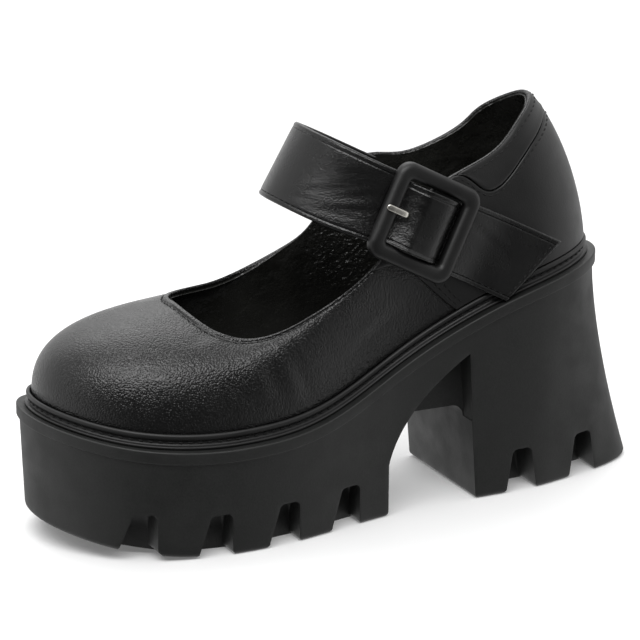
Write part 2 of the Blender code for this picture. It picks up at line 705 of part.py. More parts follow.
def tilted(reach, side, level):
    """Point in the strap's tilted frame: reach along the tilt, side to +Y, level square to the tilt."""
    c, t = math.cos(STRAP_TILT), math.sin(STRAP_TILT)
    base = float(lip_height(TIP_PLACE * LENGTH - HEEL_REST))
    reach, side, level = np.broadcast_arrays(reach, side, level)
    return np.stack([reach * c - level * t - HEEL_REST, side, base + reach * t + level * c], axis=-1)


def strap_knots():
    """Reach, side, level and half width of the strap at the rows of its table."""
    lies = np.array([row[3] for row in STRAP_PATH])
    knots = []
    for _, reach, side, on, sag, width in STRAP_PATH:
        reach, width, level = reach * STRAP_CROWN, width * STRAP_WIDTH, -STRAP_DROP - sag * STRAP_WIDTH
        if on:
            across = np.linspace(-0.5, 0.5, 9) * width
            back = STRAP_SLANT * across / STRAP_WIDTH if reach < 0.5 * STRAP_CROWN else 0 * across
            place = tilted(reach - back, 0.0, level + across)
            face = side_of_upper(place[:, 0], place[:, 2], on) + math.copysign(STRAP_LEAN, on) * across
            side = face.max() + GAP + STRAP_THICKNESS / 2
        knots.append([reach, side, level, width / 2])
    knots = np.array(knots)
    flat = knots[lies == 2, 1].max()
    knots[lies == 2, 1] = flat
    knots[lies == 0, 1] *= flat
    return knots


def strap_lean(side):
    """Lean of the strap's width: none over the crown, full on the quarters."""
    return STRAP_LEAN * np.clip(side / STRAP_SPREAD, -1, 1)


def hump(before):
    """Rise of the strap over the centre bar, at a distance from it."""
    window = BUCKLE_ALONG / 2 - BUCKLE_BAR
    t = np.clip((window - np.abs(before)) / (window - HUMP_FLAT), 0, 1)
    return STRAP_HUMP * t * t * (3 - 2 * t)


def drawn_in(half, before):
    """Half width of the strap, drawn in where it passes through the buckle."""
    window = BUCKLE_ALONG / 2 - BUCKLE_BAR
    t = np.clip((np.abs(before) - window) / BUCKLE_BAR, 0, 1)
    return STRAP_INSIDE / 2 + (half - STRAP_INSIDE / 2) * t * t * (3 - 2 * t)


def build_strap(group, cutters, knots, buckle):
    """Band from inside the inner quarter, over the instep, through the buckle, to its slanted tip."""
    length = np.append(0, np.cumsum(np.hypot(*np.diff(knots[:, :2], axis=0).T)))
    names = [row[0] for row in STRAP_PATH]
    at_buckle = length[names.index("buckle")]
    bar = BUCKLE_ALONG / 2
    half = np.array([0.2, 0.36, 0.44, 0.52, 0.6, 0.67, 0.83, 1.0])
    near = at_buckle + np.concatenate([-half[::-1], [0], half]) * bar
    rows = np.concatenate([np.linspace(0, near[0], 17)[:-1], near, np.linspace(near[-1], length[-1], 8)[1:]])
    reach, side, level, half = (smooth(length, knots[:, i], rows) for i in range(4))
    before = rows - at_buckle
    half = drawn_in(half, before)
    turn = np.stack([smooth(length, knots[:, 0], rows + 1e-5) - smooth(length, knots[:, 0], rows - 1e-5),
                     smooth(length, knots[:, 1], rows + 1e-5) - smooth(length, knots[:, 1], rows - 1e-5)])
    turn /= np.hypot(*turn)
    reach, side = reach + turn[1] * hump(before), side - turn[0] * hump(before)
    slant = np.clip((rows - near[-1]) / (length[-1] - near[-1]), 0, 1)
    forward = STRAP_FORWARD * np.clip(1 - np.abs(side) / STRAP_SPREAD, 0, 1)
    grids = []
    for face in (-0.5, 0.5):
        columns = []
        for across in (-1.0, -0.5, 0.0, 0.5, 1.0):
            width = across * half
            out = face * STRAP_THICKNESS
            over_reach = reach + out * turn[1] - slant * STRAP_SLANT * across / 2 - width * forward
            over_side = side - out * turn[0] - width * strap_lean(side)
            columns.append(tilted(over_reach, over_side, level + width))
        grids.append(np.stack(columns, axis=1))
    strap = add_object("strap", *shell(grids[0], grids[1]), group)
    cut(strap, prong_hole(cutters, buckle))
    return strap


def buckle_frame_on(knots):
    """Function that places a point in the buckle's own frame: before it, down across it, out of the shoe."""
    lean = math.atan(STRAP_LEAN)
    row = [row[0] for row in STRAP_PATH].index("buckle")
    middle, flat = knots[row, 2], knots[row, 1]

    def place(before, across, out):
        before, across, out = np.broadcast_arrays(before, across, out)
        level = middle - across * math.cos(lean) + out * math.sin(lean)
        side = flat + across * math.sin(lean) + out * math.cos(lean)
        return tilted(BUCKLE_REACH + before, side, level)

    return place


def rounded_window(half_along, half_across, corner):
    """Rounded rectangle, five points to a corner."""
    points = []
    for quarter in range(4):
        turn = quarter * math.pi / 2
        sx, sy = ((1, 1), (-1, 1), (-1, -1), (1, -1))[quarter]
        for a in np.linspace(turn, turn + math.pi / 2, 5):
            points.append((sx * (half_along - corner) + corner * math.cos(a),
                           sy * (half_across - corner) + corner * math.sin(a)))
    return np.array(points)


def build_buckle_frame(group, cutters, buckle):
    """Square frame with a rounded face, joined to its centre bar."""
    outer = rounded_window(BUCKLE_ALONG / 2, BUCKLE_ACROSS / 2, BUCKLE_CORNER)
    inner = rounded_window(BUCKLE_ALONG / 2 - BUCKLE_BAR, BUCKLE_ACROSS / 2 - BUCKLE_BAR, WINDOW_CORNER)
    under = STRAP_THICKNESS / 2 + GAP
    section = ((0.10, 0.0), (0.90, 0.0), (1.0, 0.14), (1.0, 0.60), (0.91, 0.85), (0.70, 1.0), (0.30, 1.0),
               (0.09, 0.85), (0.0, 0.60), (0.0, 0.14))
    rings = []
    for away, high in section:
        plan = inner + (outer - inner) * away
        rings.append(buckle(plan[:, 0], plan[:, 1], under + high * BUCKLE_DEPTH))
    faces = ring_faces(len(rings), len(outer), closed_tube=True)
    frame = add_object("buckle_frame", np.concatenate(rings), faces, group)
    ends = []
    reach = BUCKLE_ACROSS / 2 - BUCKLE_BAR / 2
    a = np.arange(ROWS_ON_BAR) * 2 * math.pi / ROWS_ON_BAR
    for across in (-reach, reach):
        ends.append(buckle(CENTRE_BAR_RADIUS * np.cos(a), across,
                           CENTRE_BAR_LEVEL + CENTRE_BAR_RADIUS * np.sin(a)))
    faces = ring_faces(2, ROWS_ON_BAR)
    faces += [tuple(range(ROWS_ON_BAR)), tuple(range(ROWS_ON_BAR, 2 * ROWS_ON_BAR))]
    bar = add_object("centre_bar", np.concatenate(ends), faces, cutters, cutter=True)
    join = frame.modifiers.new("centre_bar", "BOOLEAN")
    join.operation = "UNION"
    join.object = bar
    return frame


def prong_line():
    """Middle line of the prong: round the centre bar, under the strap, up through it and over the bar."""
    radius = CENTRE_BAR_RADIUS + PRONG_SLACK + PRONG_THICKNESS / 2
    a = np.radians(np.linspace(-190, 90, 15))
    loop = np.stack([-radius * np.cos(a), CENTRE_BAR_LEVEL + radius * np.sin(a)], axis=-1)
    run = np.array(PRONG_PATH) * MM
    return np.concatenate([loop, run, [(PRONG_TIP, run[-1, 1] - PRONG_THICKNESS / 3)]])


def build_prong(group, buckle):
    """Bent strip with a tapered tip."""
    line = prong_line()
    along = np.gradient(line, axis=0)
    along /= np.linalg.norm(along, axis=1)[:, None]
    square = np.stack([-along[:, 1], along[:, 0]], axis=-1)
    half = np.full(len(line), PRONG_WIDTH / 2)
    thick = np.full(len(line), PRONG_THICKNESS / 2)
    half[-1] *= 0.6
    thick[-1] *= 0.6
    rings = []
    for i in range(len(line)):
        corners = []
        for side, face in ((-1, -1), (1, -1), (1, 1), (-1, 1)):
            place = line[i] + square[i] * thick[i] * face
            corners.append(buckle(place[0], side * half[i], place[1]))
        rings.append(corners)
    rings = np.array(rings).reshape(-1, 3)
    count = len(line)
    faces = ring_faces(count, 4) + [(0, 1, 2, 3), tuple(range(4 * count - 4, 4 * count))]
    return add_object("buckle_prong", rings, faces, group)


def prong_hole(cutters, buckle):
    """Slot through the strap where the prong rises, clear of it all round."""
    start, end = np.array(PRONG_PATH[2]) * MM, np.array(PRONG_PATH[3]) * MM
    along = (end - start) / np.linalg.norm(end - start)
    square = np.array([-along[1], along[0]])
    thick = PRONG_THICKNESS / 2 + 2 * GAP
    wide = PRONG_WIDTH / 2 + 1.5 * GAP
    corners = []
    for place in (start - along * STRAP_THICKNESS / 2, end + along * STRAP_THICKNESS):
        for side, face in ((-1, -1), (1, -1), (1, 1), (-1, 1)):
            spot = place + square * thick * face
            corners.append(buckle(spot[0], side * wide, spot[1]))
    faces = ring_faces(2, 4) + [(0, 1, 2, 3), (4, 5, 6, 7)]
    return add_object("prong_hole", np.array(corners), faces, cutters, cutter=True)


def main():
    """Build the shoe."""
    for obj in list(bpy.data.objects):
        bpy.data.objects.remove(obj, do_unlink=True)
    shoe = collection("platform_shoe")
    cutters = collection("cutters")
    build_outsole(shoe, cutters)
    build_rand(shoe)
    build_upper(shoe)
    build_quarter(shoe)
    build_collar_band(shoe)
    build_insole(shoe)
    knots = strap_knots()
    buckle = buckle_frame_on(knots)
    build_strap(shoe, cutters, knots, buckle)
    build_buckle_frame(shoe, cutters, buckle)
    build_prong(shoe, buckle)


main()
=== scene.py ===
"""Look of the platform shoe: finer skins over the solids, stitches, grain, light and camera.

Frame as in the solids: +X to the toe, +Y to the outer side, +Z up, metres. Round the shoe, the station u
runs from 0 at the back along the outer side to 1 at the toe, and on along the inner side to 2. Up the
upper, v runs from 0 at its foot to 1 at its top edge.
"""

import math

import bmesh
import bpy
import numpy as np
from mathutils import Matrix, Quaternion, Vector


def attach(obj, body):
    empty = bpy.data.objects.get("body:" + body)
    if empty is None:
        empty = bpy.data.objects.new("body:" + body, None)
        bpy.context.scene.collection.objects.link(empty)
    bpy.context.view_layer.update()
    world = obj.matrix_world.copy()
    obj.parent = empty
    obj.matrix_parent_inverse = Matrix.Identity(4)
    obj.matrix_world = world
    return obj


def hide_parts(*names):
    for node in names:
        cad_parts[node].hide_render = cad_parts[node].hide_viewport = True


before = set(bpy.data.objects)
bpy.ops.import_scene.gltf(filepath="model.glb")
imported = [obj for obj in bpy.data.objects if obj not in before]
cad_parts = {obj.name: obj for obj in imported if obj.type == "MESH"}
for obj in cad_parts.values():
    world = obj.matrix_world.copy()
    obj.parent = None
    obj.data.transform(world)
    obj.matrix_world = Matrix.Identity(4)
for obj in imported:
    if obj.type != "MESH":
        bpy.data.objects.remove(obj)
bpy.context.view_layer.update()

MM = 0.001
GAP = 0.3 * MM              # clearance between pieces that touch

# Sole in plan, measured at the lip
LENGTH = 250 * MM
BALL_WIDTH = 95 * MM
HEEL_WIDTH = 62 * MM
HEEL_REST = 30.5 * MM       # from the back of the lip to the origin

# Sole heights
PLATFORM_HEIGHT = 44.2 * MM
HEEL_HEIGHT = 93.3 * MM
TOE_SPRING = 11 * MM
TOE_LIFT = 9.2 * MM         # rise of the lip at the toe
SPRING_START = 0.72         # share of the length where the toe starts to lift

# Side wall of the sole
LIP_HEIGHT = 5 * MM
LIP_STEP = 1.2 * MM
LIP_ROUND = 0.6 * MM
WALL_TAPER = 2.4 * MM
FLOOR_CHAMFER = 2 * MM
HEEL_FLARE = 19.6 * MM
FLARE_REACH = 32 * MM       # how far forward of the back the flare starts
FLARE_CURVE = 1.5

# Arch
BREAST = 38 * MM            # heel front at the floor, from the origin
BREAST_RAKE = 3.6 * MM      # forward lean of the heel front up to the arch's top
ARCH_LENGTH = 41 * MM       # heel front to forepart, at the floor
ARCH_TOP = 63 * MM          # top of the skirt's arch, at the heel
SKIRT_FOOT = 22 * MM        # where the skirt's curve meets the forepart
CORE_BOTTOM = 39 * MM
CORE_FILLET = 5 * MM
SKIRT_DEPTH = 7.5 * MM      # how far the core stands back from half the heel width

# Grooves
GROOVE_DEPTH = 17.5 * MM
GROOVE_TOP = 9.5 * MM
GROOVE_SLOPE = 4 * MM
FRONT_GROOVES = 4
REAR_LUG = 14.5 * MM        # forepart's rear lug, up to its groove
FIRST_LUG = 23.5 * MM       # from the toe's tip to the first groove
HEEL_GROOVE_PITCH = 32.4 * MM
HEEL_GROOVE_TOP = 9.5 * MM
HEEL_GROOVE_SLOPE = 2.2 * MM
HEEL_GROOVE_DEPTH = 18.5 * MM
FRONT_GROOVE_REACH = 10 * MM   # from the sole's edge in to the back of the groove
HEEL_GROOVE_REACH = 14.5 * MM
GROOVE_VAULT = 6 * MM       # where its ceiling starts to come down to its back

# Rand
LEDGE = 3.5 * MM            # lip that shows outside the rand
RAND_THICKNESS = 2.2 * MM
RAND_HEIGHT = 6 * MM

# Upper
UPPER_WALL = 2 * MM
COLLAR_HEIGHT = 67.5 * MM   # back of the collar above the lip
VAMP_HEIGHT = 39 * MM       # front of the throat above the lip
QUARTER_THICKNESS = 1 * MM
UPPER_INSET = LEDGE + RAND_THICKNESS + GAP
QUARTER_SEAM_FOOT = 0.375   # station where the quarter's front seam starts
QUARTER_SEAM_TOP = 0.505    # station where it meets the top edge
COLLAR_BAND_END = 0.372     # station where the collar band's stitches end, on both sides

# Insole
INSOLE_THICKNESS = 3 * MM

# Strap
STRAP_TILT = math.radians(28)
STRAP_WIDTH = 31 * MM
STRAP_THICKNESS = 2.2 * MM
STRAP_INSIDE = 26.2 * MM    # width where it passes through the buckle
STRAP_DROP = 12 * MM        # its centre line's level below the base, at the tip
STRAP_CROWN = 149.5 * MM    # reach of the arch over the instep
TIP_PLACE = 0.2             # share of the sole's length under the tip
STRAP_SLANT = 13 * MM       # how much farther back the tip's upper corner is
STRAP_LEAN = 0.076          # side lean of its width where it lies on the quarters
STRAP_SPREAD = 25 * MM      # half width of the arch, where the full lean is reached
STRAP_FORWARD = 0.05        # how much farther forward its lower edge is at the crown

# Buckle
BUCKLE_REACH = 101 * MM
BUCKLE_ACROSS = 40.3 * MM
BUCKLE_ALONG = 40.3 * MM
BUCKLE_BAR = 6.5 * MM
BUCKLE_DEPTH = 4.8 * MM
BUCKLE_CORNER = 6 * MM
WINDOW_CORNER = 2 * MM
WINDOW_HALF = BUCKLE_ALONG / 2 - BUCKLE_BAR     # half the length of its window
CENTRE_BAR_RADIUS = 1.1 * MM
CENTRE_BAR_LEVEL = 0.9 * MM  # over the strap's centre line

# Prong
PRONG_WIDTH = 2.4 * MM
PRONG_THICKNESS = 0.9 * MM
PRONG_SLACK = 0.2 * MM      # play of its loop on the centre bar
PRONG_TIP = 19.2 * MM       # from the centre bar


# Outline of the lip: station, then half width as shares of the ball and heel widths
OUTLINE = (
    ("heel back", 0.000, 0.000, 0.000),
    ("outer heel corner", 0.111, 0.000, 0.270),
    ("outer heel", 0.235, 0.000, 0.497),
    ("outer breast", 0.348, 0.000, 0.540),
    ("outer waist", 0.449, 0.200, 0.270),
    ("outer joint", 0.577, 0.497, 0.000),
    ("outer ball", 0.689, 0.508, 0.000),
    ("outer toe", 0.795, 0.410, 0.000),
    ("outer tip", 0.889, 0.220, 0.000),
    ("toe", 1.000, -0.042, 0.000),
    ("inner tip", 1.101, -0.277, 0.000),
    ("inner toe", 1.205, -0.418, 0.000),
    ("inner ball", 1.341, -0.488, 0.000),
    ("inner waist", 1.532, -0.180, -0.270),
    ("inner breast", 1.652, 0.000, -0.500),
    ("inner heel", 1.765, 0.000, -0.492),
    ("inner heel corner", 1.889, 0.000, -0.274),
)

# Height of the lip: share of the length, share of the rise from platform to heel
LIP_RISE = (
    (0.00, 1.000),
    (0.20, 0.815),
    (0.40, 0.410),
    (0.55, 0.090),
    (0.70, 0.000),
    (0.85, 0.000),
    (1.00, 0.000),
)

# Top edge of the upper: station of its foot, place along the length, half width as shares of the ball and
# heel widths, height above the lip as shares of the collar and vamp heights
TOP_EDGE = (
    ("back", 0.000, 0.126, 0.000, 0.000, 1.000, 0.000),
    ("outer back", 0.120, 0.142, 0.000, 0.153, 0.975, 0.000),
    ("outer heel", 0.235, 0.180, 0.000, 0.266, 0.930, 0.000),
    ("outer collar", 0.326, 0.236, 0.000, 0.347, 0.896, 0.000),
    ("outer collar front", 0.383, 0.300, 0.000, 0.403, 0.937, 0.000),
    ("outer quarter", 0.436, 0.372, 0.000, 0.444, 0.930, 0.000),
    ("outer quarter front", 0.481, 0.432, 0.310, 0.000, 0.600, 0.356),
    ("outer throat rise", 0.526, 0.496, 0.332, 0.000, 0.400, 0.560),
    ("outer throat", 0.577, 0.564, 0.347, 0.000, 0.000, 1.130),
    ("outer throat low", 0.631, 0.624, 0.349, 0.000, 0.000, 1.008),
    ("outer throat turn", 0.689, 0.680, 0.316, 0.000, 0.000, 0.949),
    ("outer throat front", 0.756, 0.722, 0.237, 0.000, 0.000, 0.980),
    ("throat front corner", 0.830, 0.744, 0.121, 0.000, 0.000, 1.028),
    ("throat front", 1.000, 0.750, -0.020, 0.000, 0.000, 0.992),
    ("inner front corner", 1.170, 0.736, -0.137, 0.000, 0.000, 1.054),
    ("inner throat front", 1.244, 0.704, -0.221, 0.000, 0.000, 1.082),
    ("inner throat turn", 1.311, 0.660, -0.284, 0.000, 0.000, 1.100),
    ("inner throat low", 1.369, 0.614, -0.321, 0.000, 0.000, 1.120),
    ("inner throat", 1.423, 0.560, -0.337, 0.000, 0.000, 1.187),
    ("inner throat rise", 1.474, 0.502, -0.332, 0.000, 0.400, 0.560),
    ("inner quarter front", 1.519, 0.454, -0.305, 0.000, 0.600, 0.300),
    ("inner quarter", 1.564, 0.410, 0.000, -0.433, 0.933, 0.000),
    ("inner collar front", 1.617, 0.344, 0.000, -0.403, 0.907, 0.000),
    ("inner collar low", 1.646, 0.298, 0.000, -0.381, 0.836, 0.000),
    ("inner collar", 1.674, 0.248, 0.000, -0.347, 0.839, 0.000),
    ("inner heel", 1.765, 0.184, 0.000, -0.266, 0.907, 0.000),
    ("inner back", 1.880, 0.144, 0.000, -0.153, 0.965, 0.000),
)

# Side form of the upper: station, roundness of the arch, share of the rise that is a plain slope
SIDE_FORM = (
    (0.00, 2.0, 0.40),
    (0.30, 2.0, 0.40),
    (0.45, 2.0, 0.38),
    (0.60, 2.4, 0.26),
    (0.80, 3.0, 0.19),
    (1.00, 3.2, 0.19),
)

# Collar seam: station, height up the upper
COLLAR_SEAM = (
    (0.000, 0.860),
    (0.100, 0.847),
    (0.160, 0.826),
    (0.220, 0.797),
    (0.260, 0.766),
    (0.290, 0.727),
    (0.310, 0.702),
    (0.330, 0.708),
    (0.345, 0.765),
    (0.370, 0.920),
    (0.385, 1.000),
)

# Strap's centre line: reach as a share of the crown's, side as a share of the buckle's where it is free,
# what it lies on (-1 inside the inner quarter, 1 on the outer quarter, 2 there but held flat by the buckle,
# 0 nothing), then sag and width as shares of the strap's width
STRAP_PATH = (
    ("inner end", 0.679, 0.000, -1, 0.048, 1.030),
    ("inner edge", 0.740, 0.000, -1, 0.052, 1.035),
    ("inner rise", 0.838, -0.817, 0, 0.056, 1.040),
    ("inner turn", 0.913, -0.719, 0, 0.060, 1.043),
    ("inner crown", 0.965, -0.503, 0, 0.060, 1.043),
    ("inner of the crown", 0.990, -0.268, 0, 0.060, 1.043),
    ("crown", 1.000, 0.000, 0, 0.060, 1.043),
    ("outer crown", 0.985, 0.354, 0, 0.058, 1.040),
    ("outer turn", 0.944, 0.658, 0, 0.056, 1.034),
    ("outer fall", 0.881, 0.887, 0, 0.046, 1.010),
    ("toe side bar", 0.807, 0.000, 2, 0.026, 0.975),
    ("before the buckle", 0.740, 0.000, 2, 0.018, 0.972),
    ("buckle", 0.675, 0.000, 2, 0.014, 0.974),
    ("after the buckle", 0.612, 0.000, 2, 0.010, 0.978),
    ("heel side bar", 0.545, 0.000, 2, 0.006, 0.982),
    ("free end", 0.451, 0.000, 1, 0.000, 0.992),
    ("free end middle", 0.364, 0.000, 1, 0.000, 1.000),
    ("tip", 0.281, 0.000, 1, 0.000, 1.000),
)

# Prong's middle line after its loop: distance before the centre bar, height over the strap's centre line
PRONG_PATH = ((3.0, 2.55), (6.0, 2.60), (7.3, 3.25), (9.9, 6.20), (11.0, 6.90), (12.6, 7.05), (17.4, 7.00))


def smooth(knots, values, at, period=0.0):
    """Cubic spline through rows: free at its ends, or closed when a period is given."""
    t = np.asarray(knots, float)
    y = np.asarray(values, float)
    at = np.asarray(at, float)
    if period:
        t = np.append(t, t[0] + period)
        y = np.append(y, y[0])
        at = t[0] + np.mod(at - t[0], period)
    step = np.diff(t)
    slope = np.diff(y) / step
    size = len(t)
    system = np.zeros((size, size))
    right = np.zeros(size)
    for i in range(1, size - 1):
        system[i, i - 1:i + 2] = step[i - 1], 2 * (step[i - 1] + step[i]), step[i]
        right[i] = 6 * (slope[i] - slope[i - 1])
    if period:
        system[0, 0], system[0, -1] = 1, -1
        system[-1, :2] = 2 * step[0], step[0]
        system[-1, -2:] += step[-1], 2 * step[-1]
        right[-1] = 6 * (slope[0] - slope[-1])
    else:
        system[0, 0] = system[-1, -1] = 1
    bend = np.linalg.solve(system, right)
    i = np.clip(np.searchsorted(t, at, side="right") - 1, 0, size - 2)
    a = (t[i + 1] - at) / step[i]
    b = 1 - a
    curve = (a ** 3 - a) * bend[i] + (b ** 3 - b) * bend[i + 1]
    return a * y[i] + b * y[i + 1] + curve * step[i] ** 2 / 6


def outline(u, inset):
    """Plan of the lip, moved in by a distance square to its own edge."""
    rows = np.array([row[1:] for row in OUTLINE])
    half = rows[:, 1] * BALL_WIDTH + rows[:, 2] * HEEL_WIDTH
    u = np.asarray(u, float)

    def edge(at):
        along = LENGTH * (1 - np.cos(math.pi * at)) / 2 - HEEL_REST
        return np.stack([along, smooth(rows[:, 0], half, at, 2.0)], axis=-1)

    tangent = edge(u + 1e-4) - edge(u - 1e-4)
    tangent /= np.linalg.norm(tangent, axis=-1)[..., None]
    inward = np.stack([tangent[..., 1], -tangent[..., 0]], axis=-1)
    return edge(u) + inward * np.asarray(inset)[..., None]


def share(x):
    """Place along the sole, 0 at the back of the lip and 1 at its toe."""
    return (np.asarray(x) + HEEL_REST) / LENGTH


def toe_curve(x):
    """Nought up to the spring, then a parabola that reaches 1 at the toe."""
    return np.clip((share(x) - SPRING_START) / (1 - SPRING_START), 0, None) ** 2


def lip_height(x):
    """Top of the sole: platform, rise to the heel, lift at the toe."""
    rows = np.array(LIP_RISE)
    rise = smooth(rows[:, 0], rows[:, 1], np.clip(share(x), 0, 1))
    return PLATFORM_HEIGHT + (HEEL_HEIGHT - PLATFORM_HEIGHT) * rise + TOE_LIFT * toe_curve(x)


def sole_bottom(x):
    """Underside of the sole: the floor, then the toe spring."""
    return TOE_SPRING * toe_curve(x)


def top_edge(u):
    """Top edge of the upper: throat, quarters and collar as one closed curve."""
    rows = np.array([row[1:] for row in TOP_EDGE])
    half = rows[:, 2] * BALL_WIDTH + rows[:, 3] * HEEL_WIDTH
    rise = rows[:, 4] * COLLAR_HEIGHT + rows[:, 5] * VAMP_HEIGHT
    foot = outline(u, UPPER_INSET)
    return np.stack([
        smooth(rows[:, 0], rows[:, 1] * LENGTH - HEEL_REST, u, 2.0),
        smooth(rows[:, 0], half, u, 2.0),
        lip_height(foot[..., 0]) + smooth(rows[:, 0], rise, u, 2.0)], axis=-1)


def last_surface(u, v):
    """Outer face of the upper: a superellipse arch on a slanted line from its foot to its top edge."""
    u, v = np.broadcast_arrays(np.asarray(u, float), np.asarray(v, float))
    rows = np.array(SIDE_FORM)
    end = np.abs(np.mod(u + 1, 2) - 1)
    roundness = smooth(rows[:, 0], rows[:, 1], end)
    sloped = smooth(rows[:, 0], rows[:, 2], end)
    plan = outline(u, UPPER_INSET)
    foot = np.concatenate([plan, (lip_height(plan[..., 0]) + GAP)[..., None]], axis=-1)
    top = top_edge(u)
    angle = np.clip(v, 0, 1) * math.pi / 2
    inward = 1 - np.abs(np.cos(angle)) ** (2 / roundness)
    upward = np.abs(np.sin(angle)) ** (2 / roundness)
    rise = (1 - sloped) * upward + sloped * inward
    way = np.stack([inward, inward, rise], axis=-1)
    return foot + (top - foot) * way


def last_offset(u, v, outward):
    """The upper's face moved along its own normal; minus is towards the foot."""
    u, v = np.broadcast_arrays(np.asarray(u, float), np.asarray(v, float))
    low = np.clip(v - 0.01, 0.002, 0.98)
    along = last_surface(u + 0.002, v) - last_surface(u - 0.002, v)
    up = last_surface(u, low + 0.02) - last_surface(u, low)
    normal = np.cross(along, up)
    normal[..., 2] = np.where(v < 0.02, 0, normal[..., 2])
    normal /= np.linalg.norm(normal, axis=-1)[..., None]
    return last_surface(u, v) - normal * np.asarray(outward)[..., None]


def side_of_upper(x, z, side):
    """Y of what the strap lies on, at a place seen from the side: quarter and rand, or the inner wall."""
    if side > 0:
        u, v = np.meshgrid(np.linspace(0.02, 0.62, 160), np.linspace(0.0, 1.0, 60), indexing="ij")
        face = last_offset(u, v, GAP + QUARTER_THICKNESS)
    else:
        u, v = np.meshgrid(np.linspace(1.40, 1.75, 160), np.linspace(0.0, 1.0, 60), indexing="ij")
        face = last_offset(u, v, -UPPER_WALL)
    face = face.reshape(-1, 3)
    x, z = np.broadcast_arrays(np.asarray(x, float), np.asarray(z, float))
    far = (face[:, 0] - x[..., None]) ** 2 + (face[:, 2] - z[..., None]) ** 2
    found = face[np.argmin(far, axis=-1), 1]
    if side > 0:
        plan = outline(np.linspace(0.1, 0.6, 90), np.full(90, LEDGE))
        rand = np.interp(x, plan[:, 0], plan[:, 1])
        found = np.where(z < lip_height(x) + RAND_HEIGHT + 2 * GAP, np.maximum(found, rand), found)
    return found


def sole_wall(u, level):
    """Ring of the sole's side between the floor, level 0, and the foot of the lip, level 1."""
    taper = WALL_TAPER + (LIP_STEP - WALL_TAPER) * level
    plan = outline(u, taper)
    back = np.clip((plan[..., 0] + HEEL_REST) / FLARE_REACH, 0, 1)
    flare = HEEL_FLARE * np.cos(back * math.pi / 2) ** 2 * (1 - level) ** FLARE_CURVE
    low = sole_bottom(plan[..., 0]) + FLOOR_CHAMFER
    high = lip_height(plan[..., 0]) - LIP_HEIGHT - LIP_STEP
    z = low + (high - low) * level
    return np.stack([plan[..., 0] - flare, plan[..., 1], z], axis=-1)


def raised(u, inset, height):
    """Ring at an inset from the lip's edge and a height over the lip."""
    plan = outline(u, inset)
    return np.concatenate([plan, (lip_height(plan[..., 0]) + height)[..., None]], axis=-1)


def breast_x(z):
    """Heel front at a height."""
    return BREAST + BREAST_RAKE * z / ARCH_TOP


def skirt_curve():
    """Lower edge of the side skirt, from the heel's front down to the forepart."""
    start = np.array([breast_x(ARCH_TOP), ARCH_TOP])
    end = np.array([BREAST + ARCH_LENGTH, SKIRT_FOOT])
    bend = np.array([start[0] + 0.85 * (end[0] - start[0]), end[1] + 0.525 * (start[1] - end[1])])
    t = np.linspace(0, 1, 21)[:, None]
    return start * (1 - t) ** 2 + bend * 2 * t * (1 - t) + end * t ** 2


def groove_places():
    """Name, reach in from the side, rear wall, slopes, top width and depth of each groove."""
    rear = BREAST + ARCH_LENGTH + REAR_LUG
    first = LENGTH - HEEL_REST - FIRST_LUG - GROOVE_TOP - GROOVE_SLOPE
    places = []
    for count, x in enumerate(np.linspace(rear, first, FRONT_GROOVES)):
        depth = GROOVE_DEPTH + sole_bottom(x)
        name = "front_groove_%d" % count
        places.append((name, FRONT_GROOVE_REACH, x, 0.0, GROOVE_SLOPE, GROOVE_TOP, depth))
    for name, side in (("rear_heel_groove", -1), ("fore_heel_groove", 1)):
        start = side * HEEL_GROOVE_PITCH / 2 - HEEL_GROOVE_TOP / 2
        slope = HEEL_GROOVE_SLOPE
        places.append((name, HEEL_GROOVE_REACH, start, slope, slope, HEEL_GROOVE_TOP, HEEL_GROOVE_DEPTH))
    return places


def height_station(u, height):
    """Value of v where the upper's face is a height above the lip."""
    v = np.linspace(0, 0.5, 60)
    found = []
    for at in u:
        face = last_surface(np.full(60, at), v)
        found.append(np.interp(height, face[:, 2] - face[0, 2], v))
    return np.array(found)


def tilted(reach, side, level):
    """Point in the strap's tilted frame: reach along the tilt, side to +Y, level square to the tilt."""
    c, t = math.cos(STRAP_TILT), math.sin(STRAP_TILT)
    base = float(lip_height(TIP_PLACE * LENGTH - HEEL_REST))
    reach, side, level = np.broadcast_arrays(reach, side, level)
    return np.stack([reach * c - level * t - HEEL_REST, side, base + reach * t + level * c], axis=-1)


def strap_knots():
    """Reach, side, level and half width of the strap at the rows of its table."""
    lies = np.array([row[3] for row in STRAP_PATH])
    knots = []
    for _, reach, side, on, sag, width in STRAP_PATH:
        reach, width, level = reach * STRAP_CROWN, width * STRAP_WIDTH, -STRAP_DROP - sag * STRAP_WIDTH
        if on:
            across = np.linspace(-0.5, 0.5, 9) * width
            back = STRAP_SLANT * across / STRAP_WIDTH if reach < 0.5 * STRAP_CROWN else 0 * across
            place = tilted(reach - back, 0.0, level + across)
            face = side_of_upper(place[:, 0], place[:, 2], on) + math.copysign(STRAP_LEAN, on) * across
            side = face.max() + GAP + STRAP_THICKNESS / 2
        knots.append([reach, side, level, width / 2])
    knots = np.array(knots)
    flat = knots[lies == 2, 1].max()
    knots[lies == 2, 1] = flat
    knots[lies == 0, 1] *= flat
    return knots


def strap_lean(side):
    """Lean of the strap's width: none over the crown, full on the quarters."""
    return STRAP_LEAN * np.clip(side / STRAP_SPREAD, -1, 1)


def drawn_in(half, before):
    """Half width of the strap, drawn in where it passes through the buckle."""
    t = np.clip((np.abs(before) - WINDOW_HALF) / BUCKLE_BAR, 0, 1)
    return STRAP_INSIDE / 2 + (half - STRAP_INSIDE / 2) * t * t * (3 - 2 * t)


